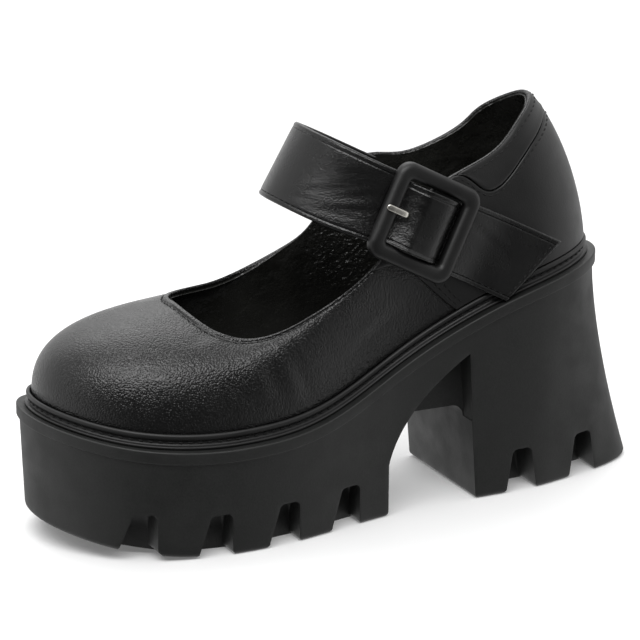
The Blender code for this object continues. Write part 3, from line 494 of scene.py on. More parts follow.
def buckle_frame_on(knots):
    """Function that places a point in the buckle's own frame: before it, down across it, out of the shoe."""
    lean = math.atan(STRAP_LEAN)
    row = [row[0] for row in STRAP_PATH].index("buckle")
    middle, flat = knots[row, 2], knots[row, 1]

    def place(before, across, out):
        before, across, out = np.broadcast_arrays(before, across, out)
        level = middle - across * math.cos(lean) + out * math.sin(lean)
        side = flat + across * math.sin(lean) + out * math.cos(lean)
        return tilted(BUCKLE_REACH + before, side, level)

    return place


def prong_line():
    """Middle line of the prong: round the centre bar, under the strap, up through it and over the bar."""
    radius = CENTRE_BAR_RADIUS + PRONG_SLACK + PRONG_THICKNESS / 2
    a = np.radians(np.linspace(-190, 90, 15))
    loop = np.stack([-radius * np.cos(a), CENTRE_BAR_LEVEL + radius * np.sin(a)], axis=-1)
    run = np.array(PRONG_PATH) * MM
    return np.concatenate([loop, run, [(PRONG_TIP, run[-1, 1] - PRONG_THICKNESS / 3)]])


def grid_quads(rows, columns, wrap_rows=False, wrap_columns=False):
    """Quads of a two-way grid: each point is joined to the next one along and the next one across."""
    i, j = np.meshgrid(np.arange(rows if wrap_rows else rows - 1),
                       np.arange(columns if wrap_columns else columns - 1), indexing="ij")
    k, m = (i + 1) % rows, (j + 1) % columns
    quads = np.stack([i * columns + j, k * columns + j, k * columns + m, i * columns + m], axis=-1)
    return quads.reshape(-1, 4)


def slab_quads(rows, columns):
    """Quads of a slab: a grid, the same grid turned over, and a strip round their rim."""
    face = grid_quads(rows, columns)
    index = np.arange(rows * columns).reshape(rows, columns)
    rim = np.concatenate([index[0, :-1], index[:-1, -1], index[-1, :0:-1], index[:0:-1, 0]])
    after = np.roll(rim, -1)
    base = rows * columns
    return np.concatenate([face[:, ::-1], face + base,
                           np.stack([rim, after, after + base, rim + base], axis=-1)])


def cap_strips(start, around):
    """Faces across a ring, from its first point's number: strips from its outer half to its inner half."""
    j = np.arange(1, around // 2 - 1)
    strips = np.stack([start + j, start + j + 1, start + around - j - 1, start + around - j], axis=-1)
    turn = start + around // 2
    return strips.tolist() + [[start, start + 1, start + around - 1], [turn - 1, turn, turn + 1]]


def tube_faces(rings, around):
    """Faces of a tube of rings, closed across at both ends."""
    return (grid_quads(rings, around, False, True).tolist() + cap_strips(0, around)
            + cap_strips((rings - 1) * around, around))


def in_scene(name, data):
    """Object with its data, linked to the scene."""
    made = bpy.data.objects.new(name, data)
    bpy.context.scene.collection.objects.link(made)
    return made


def outward_mesh(name, points, faces):
    """Mesh from points and faces, the faces turned to point out."""
    mesh = bpy.data.meshes.new(name)
    mesh.from_pydata(np.reshape(points, (-1, 3)).tolist(), [], [list(map(int, f)) for f in faces])
    work = bmesh.new()
    work.from_mesh(mesh)
    bmesh.ops.recalc_face_normals(work, faces=work.faces)
    work.to_mesh(mesh)
    work.free()
    return mesh


def shade(made, sharp):
    """Smooth shading, but for edges past an angle in degrees."""
    made.data.shade_smooth()
    made.data.set_sharp_from_angle(angle=math.radians(sharp))


def add_piece(name, points, faces, skin, node="", sharp=60):
    """Shown piece from points and faces that rides on the shoe's one body."""
    made = in_scene(name, outward_mesh(name, points, faces))
    made.data.materials.append(skin)
    shade(made, sharp)
    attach(made, "root")
    if node:
        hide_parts(node)
    return made


def add_slab(name, inner, outer, skin, node):
    """Shown slab between two grids of points, its inner face and its outer one."""
    points = np.concatenate([inner.reshape(-1, 3), outer.reshape(-1, 3)])
    add_piece(name, points, slab_quads(*inner.shape[:2]), skin, node)


def stations(around):
    """Even stations once round the shoe."""
    return np.arange(around) * 2 / around


def bell(distance, width):
    """Bell curve: e to minus the square of a distance over a width."""
    return np.exp(-(distance / width) ** 2)


def squared(wave, power):
    """Wave with its size raised to a power under 1 and its sign kept, which squares off a circle."""
    return np.sign(wave) * np.abs(wave) ** power


def runs_of(points):
    """Run along a line of points to each of them."""
    return np.append(0, np.cumsum(np.linalg.norm(np.diff(points, axis=0), axis=1)))


def at_runs(at, run, values):
    """Values of a line's points, taken at other runs along it."""
    return np.stack([np.interp(at, run, row) for row in values.T], axis=-1)


# Materials


def linear(code):
    """Linear colour from an sRGB hex code: the lower end divided by 12.92, the rest raised to 2.4."""
    value = np.array([int(code[i:i + 2], 16) for i in (1, 3, 5)]) / 255
    value = np.where(value <= 0.04045, value / 12.92, ((value + 0.055) / 1.055) ** 2.4)
    return (*value.tolist(), 1.0)


def add_node(tree, kind, inputs=(), **settings):
    """Node of a kind with its settings; each input is given a value, or a socket to be linked from."""
    made = tree.nodes.new(kind)
    for key, value in settings.items():
        setattr(made, key, value)
    for key, value in dict(inputs).items():
        if isinstance(value, bpy.types.NodeSocket):
            tree.links.new(value, made.inputs[key])
        else:
            made.inputs[key].default_value = value
    return made


def new_material(name):
    """Material with its tree, its shader and the object's own coordinates."""
    made = bpy.data.materials.new(name)
    made.use_nodes = True
    tree = made.node_tree
    place = add_node(tree, "ShaderNodeTexCoord").outputs["Object"]
    return made, tree, tree.nodes["Principled BSDF"], place


def mottled(tree, place, shades, size, socket):
    """Colour that drifts between two shades over a size in metres."""
    drift = add_node(tree, "ShaderNodeTexNoise", {"Vector": place, "Scale": 1 / size, "Detail": 4.0})
    ramp = add_node(tree, "ShaderNodeValToRGB", {"Fac": drift.outputs["Fac"]})
    for stop, code, position in zip(ramp.color_ramp.elements, shades, (0.38, 0.62)):
        stop.color, stop.position = linear(code), position
    tree.links.new(ramp.outputs["Color"], socket)


def rough_patches(tree, place, rough, size, socket):
    """Roughness that drifts between two values over a size in metres."""
    drift = add_node(tree, "ShaderNodeTexNoise", {"Vector": place, "Scale": 1 / size, "Detail": 5.0})
    spread = add_node(tree, "ShaderNodeMapRange", {
        "Value": drift.outputs["Fac"], "From Min": 0.35, "From Max": 0.65, "To Min": rough[0],
        "To Max": rough[1]})
    tree.links.new(spread.outputs["Result"], socket)


CELL_BEND = 0.0006          # share by which the cells of a grain are pushed out of line


def grain(tree, place, size, depth, previous):
    """Normal of a pebbled face: cells of a size in metres, raised by a depth."""
    bend = add_node(tree, "ShaderNodeTexNoise", {"Vector": place, "Scale": 0.45 / size, "Detail": 2.0})
    moved = add_node(tree, "ShaderNodeMixRGB", {
        "Fac": CELL_BEND, "Color1": place, "Color2": bend.outputs["Color"]})
    cells = add_node(tree, "ShaderNodeTexVoronoi", {"Vector": moved.outputs["Color"], "Scale": 1 / size},
                     feature="SMOOTH_F1")
    inputs = {"Height": cells.outputs["Distance"], "Strength": 1.0, "Distance": depth, "Normal": previous}
    return add_node(tree, "ShaderNodeBump", inputs, invert=True).outputs["Normal"]


def near(tree, place, centre, full, none):
    """Share that is 1 within one distance of a point and falls to 0 at another."""
    far = add_node(tree, "ShaderNodeVectorMath", {0: place, 1: centre}, operation="DISTANCE")
    return add_node(tree, "ShaderNodeMapRange", {
        "Value": far.outputs["Value"], "From Min": full, "From Max": none, "To Min": 1.0, "To Max": 0.0},
        interpolation_type="SMOOTHSTEP").outputs["Result"]


def waves(tree, place, size, depth, stretch=(1, 1, 1), previous=None, detail=3.0, strength=1.0):
    """Normal of a softly uneven face: noise of a size in metres, raised by a depth."""
    mapped = add_node(tree, "ShaderNodeMapping", {"Vector": place, "Scale": stretch})
    noise = add_node(tree, "ShaderNodeTexNoise", {
        "Vector": mapped.outputs["Vector"], "Scale": 1 / size, "Detail": detail})
    inputs = {"Height": noise.outputs["Fac"], "Strength": strength, "Distance": depth}
    if previous is not None:
        inputs["Normal"] = previous
    return add_node(tree, "ShaderNodeBump", inputs).outputs["Normal"]


SHADE_DRIFT = 0.02          # size over which a leather's shade changes
ROUGH_DRIFT = 0.009         # and its roughness
CRUMPLE_SIZE = 0.011        # usual size of its soft dents
UNEVEN_SHARE = 0.15         # depth of the unevenness under its pebbles, as a share of theirs


def leather(name, shades, rough, pebble, depth, crumple, crumple_size=CRUMPLE_SIZE, wrinkled=None):
    """Coated leather: two close blacks, roughness in patches, pebble grain over wrinkles and soft dents."""
    made, tree, shader, place = new_material(name)
    mottled(tree, place, shades, SHADE_DRIFT, shader.inputs["Base Color"])
    rough_patches(tree, place, rough, ROUGH_DRIFT, shader.inputs["Roughness"])
    normal = waves(tree, place, crumple_size, crumple)
    if wrinkled:
        centre, spread, size, deep, way = wrinkled
        mask = near(tree, place, centre, spread / 4, spread)
        normal = waves(tree, place, size, deep, way, normal, 2.0, mask)
    normal = waves(tree, place, pebble * 2.0, depth * UNEVEN_SHARE, previous=normal)
    tree.links.new(grain(tree, place, pebble, depth, normal), shader.inputs["Normal"])
    shader.inputs["IOR"].default_value = 1.5
    return made


# Where the strap and the lining are wrinkled: centre, reach, size and depth of the wrinkles, and their run.
STRAP_WRINKLED = ((0.0905, 0.033, 0.1225), 16 * MM, 1.2 * MM, 0.12 * MM, (0.7, 0.8, 1.0))
LINING_WRINKLED = ((0.0715, -0.025, 0.0930), 26 * MM, 1.7 * MM, 1.5 * MM, (1.0, 1.0, 1.0))

# Vamp and quarters: woven backing coated with polyurethane and pressed on a grain roll, so it is an even
# black whose highlights break up into small pebbles.
UPPER_LEATHER = leather("coated_upper_leather", shades=("#0b0b0b", "#0f0f0f"), rough=(0.20, 0.28),
                        pebble=0.62 * MM, depth=0.25 * MM, crumple=0.12 * MM)

# Quarters and collar band: the same sheet from a flatter part of the roll, so the grain hardly shows.
QUARTER_LEATHER = leather("coated_quarter_leather", shades=("#0d0d0d", "#111111"), rough=(0.36, 0.44),
                          pebble=0.62 * MM, depth=0.03 * MM, crumple=0.06 * MM)

# Strap: the same coated leather folded over a stiffener and pulled tight, so its grain is finer and smoother,
# with small wrinkles where it bends in front of the buckle.
STRAP_LEATHER = leather("coated_strap_leather", shades=("#090909", "#0e0e0e"), rough=(0.22, 0.30),
                        pebble=0.54 * MM, depth=0.12 * MM, crumple=0.08 * MM, wrinkled=STRAP_WRINKLED)

# Buckle: the coated leather stretched over a moulded frame, which dulls it and all but flattens the grain.
BUCKLE_LEATHER = leather("buckle_covering_leather", shades=("#0b0b0b", "#101010"), rough=(0.40, 0.50),
                         pebble=0.6 * MM, depth=0.014 * MM, crumple=0.04 * MM)

# Lining: thin coated leather glued in loose, glossier than the outside and crumpled into broad soft wrinkles,
# with sharper ones under the strap.
# Its blacks are lighter than the outer leather's: painted sheen for the light it catches inside the shoe.
LINING_LEATHER = leather("glossy_lining_leather", shades=("#181816", "#21211f"), rough=(0.20, 0.30),
                         pebble=0.8 * MM, depth=0.10 * MM, crumple=1.3 * MM, crumple_size=0.006,
                         wrinkled=LINING_WRINKLED)

# Insole cover: coated leather pressed flat over foam, with a plain fine grain.
# Its blacks are darker than the outer leather's: painted shade for the dark inside of the shoe.
INSOLE_LEATHER = leather("padded_insole_leather", shades=("#050505", "#080808"), rough=(0.34, 0.46),
                         pebble=0.9 * MM, depth=0.04 * MM, crumple=0.12 * MM)

# Rand: an extruded strip of softened plastic, duller than the leather, with a hardly visible unevenness.
RAND_PLASTIC = leather("extruded_rand_strip", shades=("#0f0f0f", "#141414"), rough=(0.42, 0.52),
                       pebble=0.5 * MM, depth=0.012 * MM, crumple=0.05 * MM)


def rubber(name):
    """Foamed rubber: dull black with a fine speckle of cells and a faint flow unevenness."""
    made, tree, shader, place = new_material(name)
    mottled(tree, place, ("#101110", "#161716"), 0.0007, shader.inputs["Base Color"])
    rough_patches(tree, place, (0.50, 0.62), 0.012, shader.inputs["Roughness"])
    soft = waves(tree, place, 0.016, 0.10 * MM)
    fine = waves(tree, place, 0.0009, 0.035 * MM, previous=soft)
    tree.links.new(fine, shader.inputs["Normal"])
    shader.inputs["IOR"].default_value = 1.52
    return made


# Sole unit: foamed rubber shot into a blasted steel mould, so it comes out dull with a fine even speckle.
SOLE_RUBBER = rubber("moulded_sole_rubber")


def thread(name):
    """Twisted thread: dull black, with turns of the yarn as a fine ribbing."""
    made, tree, shader, place = new_material(name)
    # Its blacks are set darker than the leather's: painted shade for the shadows of the stitch holes.
    mottled(tree, place, ("#050505", "#0b0b0b"), 0.0008, shader.inputs["Base Color"])
    tree.links.new(waves(tree, place, 0.00025, 0.05 * MM), shader.inputs["Normal"])
    shader.inputs["Roughness"].default_value = 0.8
    shader.inputs["IOR"].default_value = 1.55
    return made


# Thread: three-ply bonded polyester, dull black.
# It is set darker than the leather it is sunk in, as painted shade for the shadows of its stitch holes.
THREAD = thread("bonded_polyester_thread")


def plated(name):
    """Plated steel: pale metal with faint polishing scratches along the prong."""
    made, tree, shader, place = new_material(name)
    mottled(tree, place, ("#e2dfd6", "#ece9e1"), 0.003, shader.inputs["Base Color"])
    rough_patches(tree, place, (0.16, 0.28), 0.0015, shader.inputs["Roughness"])
    tree.links.new(waves(tree, place, 0.0004, 0.012 * MM, (1, 6, 1)), shader.inputs["Normal"])
    shader.inputs["Metallic"].default_value = 1.0
    return made


# Prong: steel wire pressed flat and nickel plated, bright with soft edges.
PRONG_METAL = plated("nickel_plated_prong_steel")


# Folded edges and seams


def from_top(u, distance):
    """Value of v at distances down the upper from its top edge, measured along its face."""
    v = np.linspace(1, 0, 200)
    face = last_surface(np.asarray(u)[:, None], v[None, :])
    run = np.zeros(face.shape[:2])
    run[:, 1:] = np.cumsum(np.linalg.norm(np.diff(face, axis=1), axis=-1), axis=1)
    distance = np.broadcast_to(distance, (len(run), np.shape(distance)[-1]))
    return np.array([np.interp(d, r, v) for d, r in zip(distance, run)])


def face_normal(u, v):
    """Unit normal of the upper's face, from the difference of two offsets."""
    out = last_offset(u, v, MM) - last_offset(u, v, 0.0)
    return out / np.linalg.norm(out, axis=-1)[..., None]


CREASE_REACH = 9            # how deep through the shoe a crease is felt, in millimetres


def folds(points, normals, rows):
    """Sum of soft troughs and ridges: a bell across each crease times a bell along it."""
    total = np.zeros(points.shape[:-1])
    for _, centre, way, length, width, height in rows:
        way = np.array(way) / np.linalg.norm(way)
        away = points - np.array(centre) * MM
        along = away @ way
        across = np.sum(away * np.cross(normals, way), axis=-1)
        deep = np.sum(away * normals, axis=-1)
        total += height * MM * np.exp(-(along / (length * MM)) ** 2 - (across / (width * MM)) ** 2
                                      - (deep / (CREASE_REACH * MM)) ** 2)
    return total


# Creases of the upper: centre in millimetres, way, then half length, half width and height in millimetres
UPPER_CREASES = (
    ("outer joint trough", (118, 44, 66), (0.45, 0.1, 1.0), 12, 3.0, -0.35),
    ("outer joint ridge", (124, 43, 66), (0.42, 0.1, 1.0), 12, 3.4, 0.30),
    ("outer ball trough", (132, 41, 68), (0.35, 0.0, 1.0), 10, 3.0, -0.28),
    ("outer ball ridge", (138, 41, 66), (0.35, 0.0, 1.0), 10, 3.2, 0.22),
    ("throat corner trough", (150, 24, 88), (1.0, 0.4, -0.2), 14, 3.2, -0.22),
    ("throat corner ridge", (152, 29, 84), (1.0, 0.4, -0.2), 14, 3.2, 0.20),
    ("vamp middle trough", (162, -4, 87), (0.2, 1.0, 0.0), 22, 4.0, -0.20),
    ("inner ball trough", (132, -38, 72), (0.35, 0.0, 1.0), 11, 3.0, -0.30),
    ("inner ball ridge", (139, -38, 71), (0.35, 0.0, 1.0), 11, 3.2, 0.24),
    ("outer waist trough", (82, 36, 78), (0.9, 0.1, -0.5), 12, 2.6, -0.28),
    ("outer waist ridge", (84, 36, 83), (0.9, 0.1, -0.5), 12, 2.6, 0.22),
    ("inner waist trough", (80, -30, 84), (0.9, 0.0, -0.5), 14, 3.0, -0.25),
)

EDGE_ROWS = np.array([0, 0.2, 0.5, 0.9, 1.3, 1.6, 1.8, 2.0, 2.2, 2.6, 3.3, 4.4, 6.0]) * MM
FOLD_WIDTH = 1.4 * MM       # folded edge round the throat and collar
FOLD_RISE = 0.60 * MM
FOLD_SLOPE = 0.3 * MM       # run over which it comes down
FOLD_DIP = 0.10 * MM        # depth of the dip beside it
FOLD_DIP_WIDTH = 0.35 * MM
STITCH_IN = 2.3 * MM        # stitches from the folded edge
STITCH_DIP = 0.22 * MM      # how far their pull sinks the leather
STITCH_DIP_WIDTH = 0.45 * MM

LEAF = UPPER_WALL / 4 * 0.97    # half thickness of the skin and of the lining
SKIN_MIDDLE = -UPPER_WALL / 4   # out of the upper's face
LINING_MIDDLE = -3.05 * UPPER_WALL / 4
SKIN_PUSH = 0.55 * MM       # how far the skin is rounded up over the top edge
LINING_PUSH = -0.6 * MM     # and how far the lining is tucked in under it


def fold_rise(distance):
    """Height of the folded edge: flat as far as its width, then two bell-shaped dips, beside it and under the
    stitches."""
    bead = np.clip((FOLD_WIDTH - distance) / FOLD_SLOPE, 0, 1) * FOLD_RISE
    dip = FOLD_DIP * bell(distance - 1.25 * FOLD_WIDTH, FOLD_DIP_WIDTH)
    return bead - dip - STITCH_DIP * bell(distance - STITCH_IN, STITCH_DIP_WIDTH)


def upper_rows(u):
    """Rows of v from the foot to the top edge, close together near the edge, and their distances from it. The
    rows below the last of EDGE_ROWS count as a metre away, past all reach of the folded edge."""
    edge = from_top(u, EDGE_ROWS)
    rest = edge[:, -1:] * np.linspace(0, 1, 44)[:-1]
    distance = np.broadcast_to(EDGE_ROWS[::-1], edge.shape)
    return (np.concatenate([rest, edge[:, ::-1]], axis=1),
            np.concatenate([np.ones(rest.shape), distance], axis=1))


def build_upper():
    """Skin and lining: closed tubes round the wall, each with a half circle over its top edge."""
    u = stations(360)
    v, distance = upper_rows(u)
    grid = np.repeat(u[:, None], v.shape[1], axis=1)
    normals = face_normal(grid, v)
    plain = last_surface(grid, v)
    lift = fold_rise(distance) + folds(plain, normals, UPPER_CREASES)
    top = plain[:, -1] + normals[:, -1] * lift[:, -1:] - last_surface(u, v[:, -8])
    top /= np.linalg.norm(top, axis=-1)[:, None]
    a = np.linspace(0, math.pi, 7)[1:-1, None]
    for name, node, skin, middle, share_lift, push in (
            ("upper_skin", "upper", UPPER_LEATHER, SKIN_MIDDLE, 1.0, SKIN_PUSH),
            ("upper_lining", "", LINING_LEATHER, LINING_MIDDLE, 0.0, LINING_PUSH)):
        outer = plain + normals * (middle + LEAF + lift * share_lift)[..., None]
        inner = plain + normals * (middle - LEAF)
        centre, arm = (outer[:, -1] + inner[:, -1]) / 2, (outer[:, -1] - inner[:, -1]) / 2
        arc = centre[:, None] + arm[:, None] * np.cos(a) + top[:, None] * push * np.sin(a)
        tube = np.concatenate([outer, arc, inner[:, ::-1][:, ::2]], axis=1)
        add_piece(name, tube, grid_quads(*tube.shape[:2], True, True), skin, node)


EDGE_STEPS = np.array([0, 0.12, 0.3, 0.6, 1.0, 1.6]) * MM
EDGE_RADIUS = 0.8 * MM
QUARTER_REACH = 112 * MM    # length of the quarter from the back to its front seam
QUARTER_RISE = 44 * MM
PANEL_CREASES = 0.6         # share of a crease's height that the quarter panel takes
SEAM_DIP = 0.10 * MM        # how far the front seams' stitches sink the panel
SEAM_DIP_IN = 2.6 * MM      # in from its edge
SEAM_DIP_WIDTH = 0.9 * MM
SEAM_EASE = 0.008           # stations over which the collar seam's corners are eased, to each side
BAND_TIP = 0.384            # station where the collar band runs out
BAND_REACH = 120 * MM       # length of the shoe's side for one station
BAND_GAP = 0.005            # share of the upper's side between it and the quarter
BAND_RISE = 9 * MM          # height of the collar band
BAND_ROLL = 0.22            # how much thicker its rolled lower edge is
BAND_ROLL_UP = 0.9 * MM     # middle of the roll over that edge, and its half width
BAND_ROLL_WIDTH = 0.8 * MM
BAND_THIN = 3 * MM          # run below the top edge over which it thins


def rounded(distance):
    """Share of a panel's thickness at a distance from its cut edge: a quarter circle from 0.3 up to 1."""
    t = np.clip(np.asarray(distance) / EDGE_RADIUS, 0, 1)
    return 0.3 + 0.7 * np.sqrt(1 - (1 - t) ** 2)


def quarter_place(along, up):
    """Station and height of a place on the quarter: along from -1 to 1 round the back, up from 0 to 1."""
    along, up = np.broadcast_arrays(along, up)
    at = along * (QUARTER_SEAM_FOOT + (QUARTER_SEAM_TOP - QUARTER_SEAM_FOOT) * up)
    low = height_station(along[:, 0] * QUARTER_SEAM_FOOT, RAND_HEIGHT + GAP)[:, None]
    return at, low + (smooth_seam(np.abs(at)) - low) * up


def smooth_seam(at):
    """Height of the collar seam, averaged over a few neighbouring stations so that its corners are eased."""
    seam = np.array(COLLAR_SEAM)
    beside = np.linspace(-SEAM_EASE, SEAM_EASE, 7)
    return np.mean([np.interp(np.abs(at + n), seam[:, 0], seam[:, 1]) for n in beside], axis=0)


def build_quarter():
    """Slab over the upper between the two front seams, its cut edges rounded."""
    ends = EDGE_STEPS / QUARTER_REACH
    sides = np.concatenate([ends - 1, np.linspace(-0.97, 0.97, 150), 1 - ends[::-1]])
    up = np.concatenate([np.linspace(0, 0.94, 30), 1 - EDGE_STEPS[::-1] / QUARTER_RISE])
    at, v = quarter_place(sides[:, None], up[None, :])
    from_side = (1 - np.abs(sides))[:, None] * QUARTER_REACH
    edge = np.minimum(from_side, (1 - up)[None, :] * QUARTER_RISE)
    normals = face_normal(at, v)
    plain = last_surface(at, v)
    rise = GAP + QUARTER_THICKNESS * rounded(edge) + PANEL_CREASES * folds(plain, normals, UPPER_CREASES)
    dip = SEAM_DIP * bell(from_side - SEAM_DIP_IN, SEAM_DIP_WIDTH)
    add_slab("quarter_panel", plain + normals * GAP, plain + normals * (rise - dip)[..., None],
             QUARTER_LEATHER, "quarter")


def build_collar_band():
    """Slab over the upper between the collar seam and the top edge, its lower edge rolled."""
    ends = EDGE_STEPS / BAND_RISE
    up = np.concatenate([ends[:-1], np.linspace(0.2, 0.8, 7), 1 - ends[::-1][1:]])
    at = np.repeat(np.linspace(-BAND_TIP, BAND_TIP, 170)[:, None], len(up), axis=1)
    low = np.clip(smooth_seam(np.abs(at)) + BAND_GAP, None, 0.985)
    v = low + (1 - low) * up
    above = up * BAND_RISE
    thick = rounded(above) * (1 + BAND_ROLL * bell(above - BAND_ROLL_UP, BAND_ROLL_WIDTH))
    top = np.clip((BAND_RISE - above) / BAND_THIN, 0, 1)
    thick = thick * (0.25 + 0.75 * np.sqrt(top * (2 - top))) * rounded((BAND_TIP - np.abs(at)) * BAND_REACH)
    normals = face_normal(at, v)
    plain = last_surface(at, v)
    add_slab("collar_band_panel", plain + normals * GAP,
             plain + normals * (GAP + QUARTER_THICKNESS * thick)[..., None],
             QUARTER_LEATHER, "collar_band")


# Sole, rand and insole

# Section of the rand: inset from the lip's edge and height over the lip, in millimetres
RAND_SECTION = (
    (3.55, 0.30), (3.42, 0.60), (3.42, 0.95), (3.60, 1.25), (4.40, 1.45), (4.95, 1.70), (5.15, 2.40),
    (5.15, 3.10), (4.95, 3.60), (4.40, 3.80), (4.10, 4.15), (4.00, 4.60), (4.02, 5.05), (4.14, 5.50),
    (4.38, 5.85), (4.75, 6.05), (5.20, 6.05), (5.55, 5.85), (5.70, 5.50), (5.70, 0.30))
INSOLE_ROUND = 1.2 * MM     # rounding of the insole's upper edge
LUG_ROUND = 2.4 * MM        # rounding of the lugs' feet and of the grooves' tops
SHOWN_LIP_ROUND = 0.7 * MM  # rounding of the lip's upper edge
CUT_EDGE = 0.55 * MM        # easing of the edges of grooves and arch
CUT_ANGLE = 38              # edges of the sole past this angle, in degrees, are eased


def build_rand():
    """Strip round the upper's foot: its section carried round the lip."""
    u = stations(420)
    rings = np.stack([raised(u, inset * MM, height * MM) for inset, height in RAND_SECTION])
    add_piece("rand_welt", rings, grid_quads(*rings.shape[:2], True, True), RAND_PLASTIC, "rand")


def build_insole():
    """Footbed: rings with a rounded edge, closed across the top and bottom."""
    u = stations(160)
    inset = UPPER_INSET + UPPER_WALL + GAP
    a = np.linspace(0, math.pi / 2, 5)
    heights = np.append(GAP, GAP + INSOLE_THICKNESS - INSOLE_ROUND + INSOLE_ROUND * np.sin(a))
    insets = np.append(inset, inset + INSOLE_ROUND * (1 - np.cos(a)))
    rings = np.stack([raised(u, i, h) for i, h in zip(insets, heights)])
    add_piece("insole_sock", rings, tube_faces(*rings.shape[:2]), INSOLE_LEATHER, "insole")


def quarter_turn(x, z, radius, start):
    """Points of a quarter circle round a centre from an angle in degrees, backwards for a minus radius."""
    a = np.radians(start + math.copysign(1, radius) * np.linspace(0, 90, 6))
    return list(zip(x + abs(radius) * np.cos(a), z + abs(radius) * np.sin(a)))


def groove_side(x, rear_slope, front_slope, top, depth):
    """Side profile of a groove: walls that lean, rounded where they meet the floor and the groove's top."""
    low = -GROOVE_DEPTH
    ground = float(sole_bottom(x + top / 2))
    r = LUG_ROUND
    left, right = x - rear_slope, x + top + front_slope
    foot_left = quarter_turn(left - r, ground + r, r, 270)
    foot_right = quarter_turn(right + r, ground + r, -r, 270)[::-1]
    top_left = quarter_turn(x + r, depth - r, -r, 180)
    top_right = quarter_turn(x + top - r, depth - r, -r, 90)
    return [(left - r, low)] + foot_left + top_left + top_right + foot_right + [(right + r, low)]


def arch_side():
    """Side profile of the span under the core, its feet rounded like the lugs."""
    rear = BREAST + ARCH_LENGTH
    low = -GROOVE_DEPTH
    r = LUG_ROUND
    curve = skirt_curve()
    meet = np.interp(-CORE_BOTTOM, -curve[:, 1], curve[:, 0])
    corner = breast_x(CORE_BOTTOM) + CORE_FILLET
    turn = quarter_turn(corner, CORE_BOTTOM - CORE_FILLET, -CORE_FILLET, 180)
    forepart = [(x, z) for x, z in curve if z < CORE_BOTTOM - 0.5 * MM]
    heel_foot = quarter_turn(BREAST - r, r, r, 270)
    fore_foot = quarter_turn(rear + r, r, r, 180)
    return ([(BREAST - r, low)] + heel_foot + turn + [(meet, CORE_BOTTOM)] + forepart + fore_foot
            + [(rear + r, low)])


def skirt_side():
    """Side profile of the space above the core's bottom, under the side skirt."""
    curve = skirt_curve()
    meet = np.interp(-CORE_BOTTOM, -curve[:, 1], curve[:, 0])
    low = CORE_BOTTOM - CORE_FILLET
    upper = [(x, z) for x, z in curve if z > CORE_BOTTOM + 0.5 * MM]
    return [(breast_x(low), low)] + upper + [(meet, CORE_BOTTOM), (meet - CORE_FILLET, low)]


def across_shoe(profile, y_low, y_high):
    """Two rings: a side profile at one side and at the other."""
    x, z = np.array(profile).T
    return [np.stack([x, np.full(len(x), y), z], axis=-1) for y in (y_low, y_high)]


def recess_rings(profile, reach, side):
    """Rings of a groove from one side: its ceiling comes down in a quarter ellipse to a back that follows the
    sole's edge, and the profile keeps its feet."""
    x, z = np.array(profile).T
    ends = x[[0, -1]]
    edge = sole_wall(np.linspace(0.02, 0.98, 200) if side > 0 else np.linspace(1.98, 1.02, 200), 0.0)
    back = np.interp(x, ends, np.interp(ends, edge[:, 0], edge[:, 1]) - side * reach)
    over = np.clip(z - float(sole_bottom(ends.mean())), 0, None)
    a = np.linspace(0, math.pi / 2, 7)
    rings = [np.stack([x, back + side * out, z + (high - 1) * over], axis=-1)
             for out, high in zip((1 - np.cos(a)) * GROOVE_VAULT, 0.5 + 0.5 * np.sin(a))]
    return rings + [np.stack([x, np.full(len(x), side * BALL_WIDTH), z], axis=-1)]


def cutter(rings):
    """Block to cut with, from rings of points, closed at both ends."""
    count = len(rings[0])
    last = (len(rings) - 1) * count
    faces = grid_quads(len(rings), count, False, True).tolist()
    faces += [list(range(count)), list(range(last, last + count))]
    return in_scene("cutter", outward_mesh("cutter", np.concatenate(rings), faces))


def cut_away(piece, cutters):
    """The piece with its cutters taken out of it for good, and the cutters gone."""
    for one in cutters:
        step = piece.modifiers.new("cut", "BOOLEAN")
        step.operation, step.object = "DIFFERENCE", one
    seen = piece.evaluated_get(bpy.context.evaluated_depsgraph_get())
    mesh = bpy.data.meshes.new_from_object(seen)
    piece.modifiers.clear()
    old, piece.data = piece.data, mesh
    bpy.data.meshes.remove(old)
    for one in cutters:
        bpy.data.objects.remove(one)


def ease_edges(piece):
    """The sole with the sharp edges of its walls and floor bevelled, the heel's lip left as it is."""
    work = bmesh.new()
    work.from_mesh(piece.data)
    sharp = [e for e in work.edges if e.is_manifold and e.calc_face_angle(0) > math.radians(CUT_ANGLE)
             and max(v.co.z for v in e.verts) < HEEL_HEIGHT * 0.8]
    bmesh.ops.bevel(work, geom=sharp, offset=CUT_EDGE, offset_type="OFFSET", segments=2, profile=0.6,
                    affect="EDGES", clamp_overlap=True)
    work.to_mesh(piece.data)
    work.free()
    shade(piece, CUT_ANGLE)


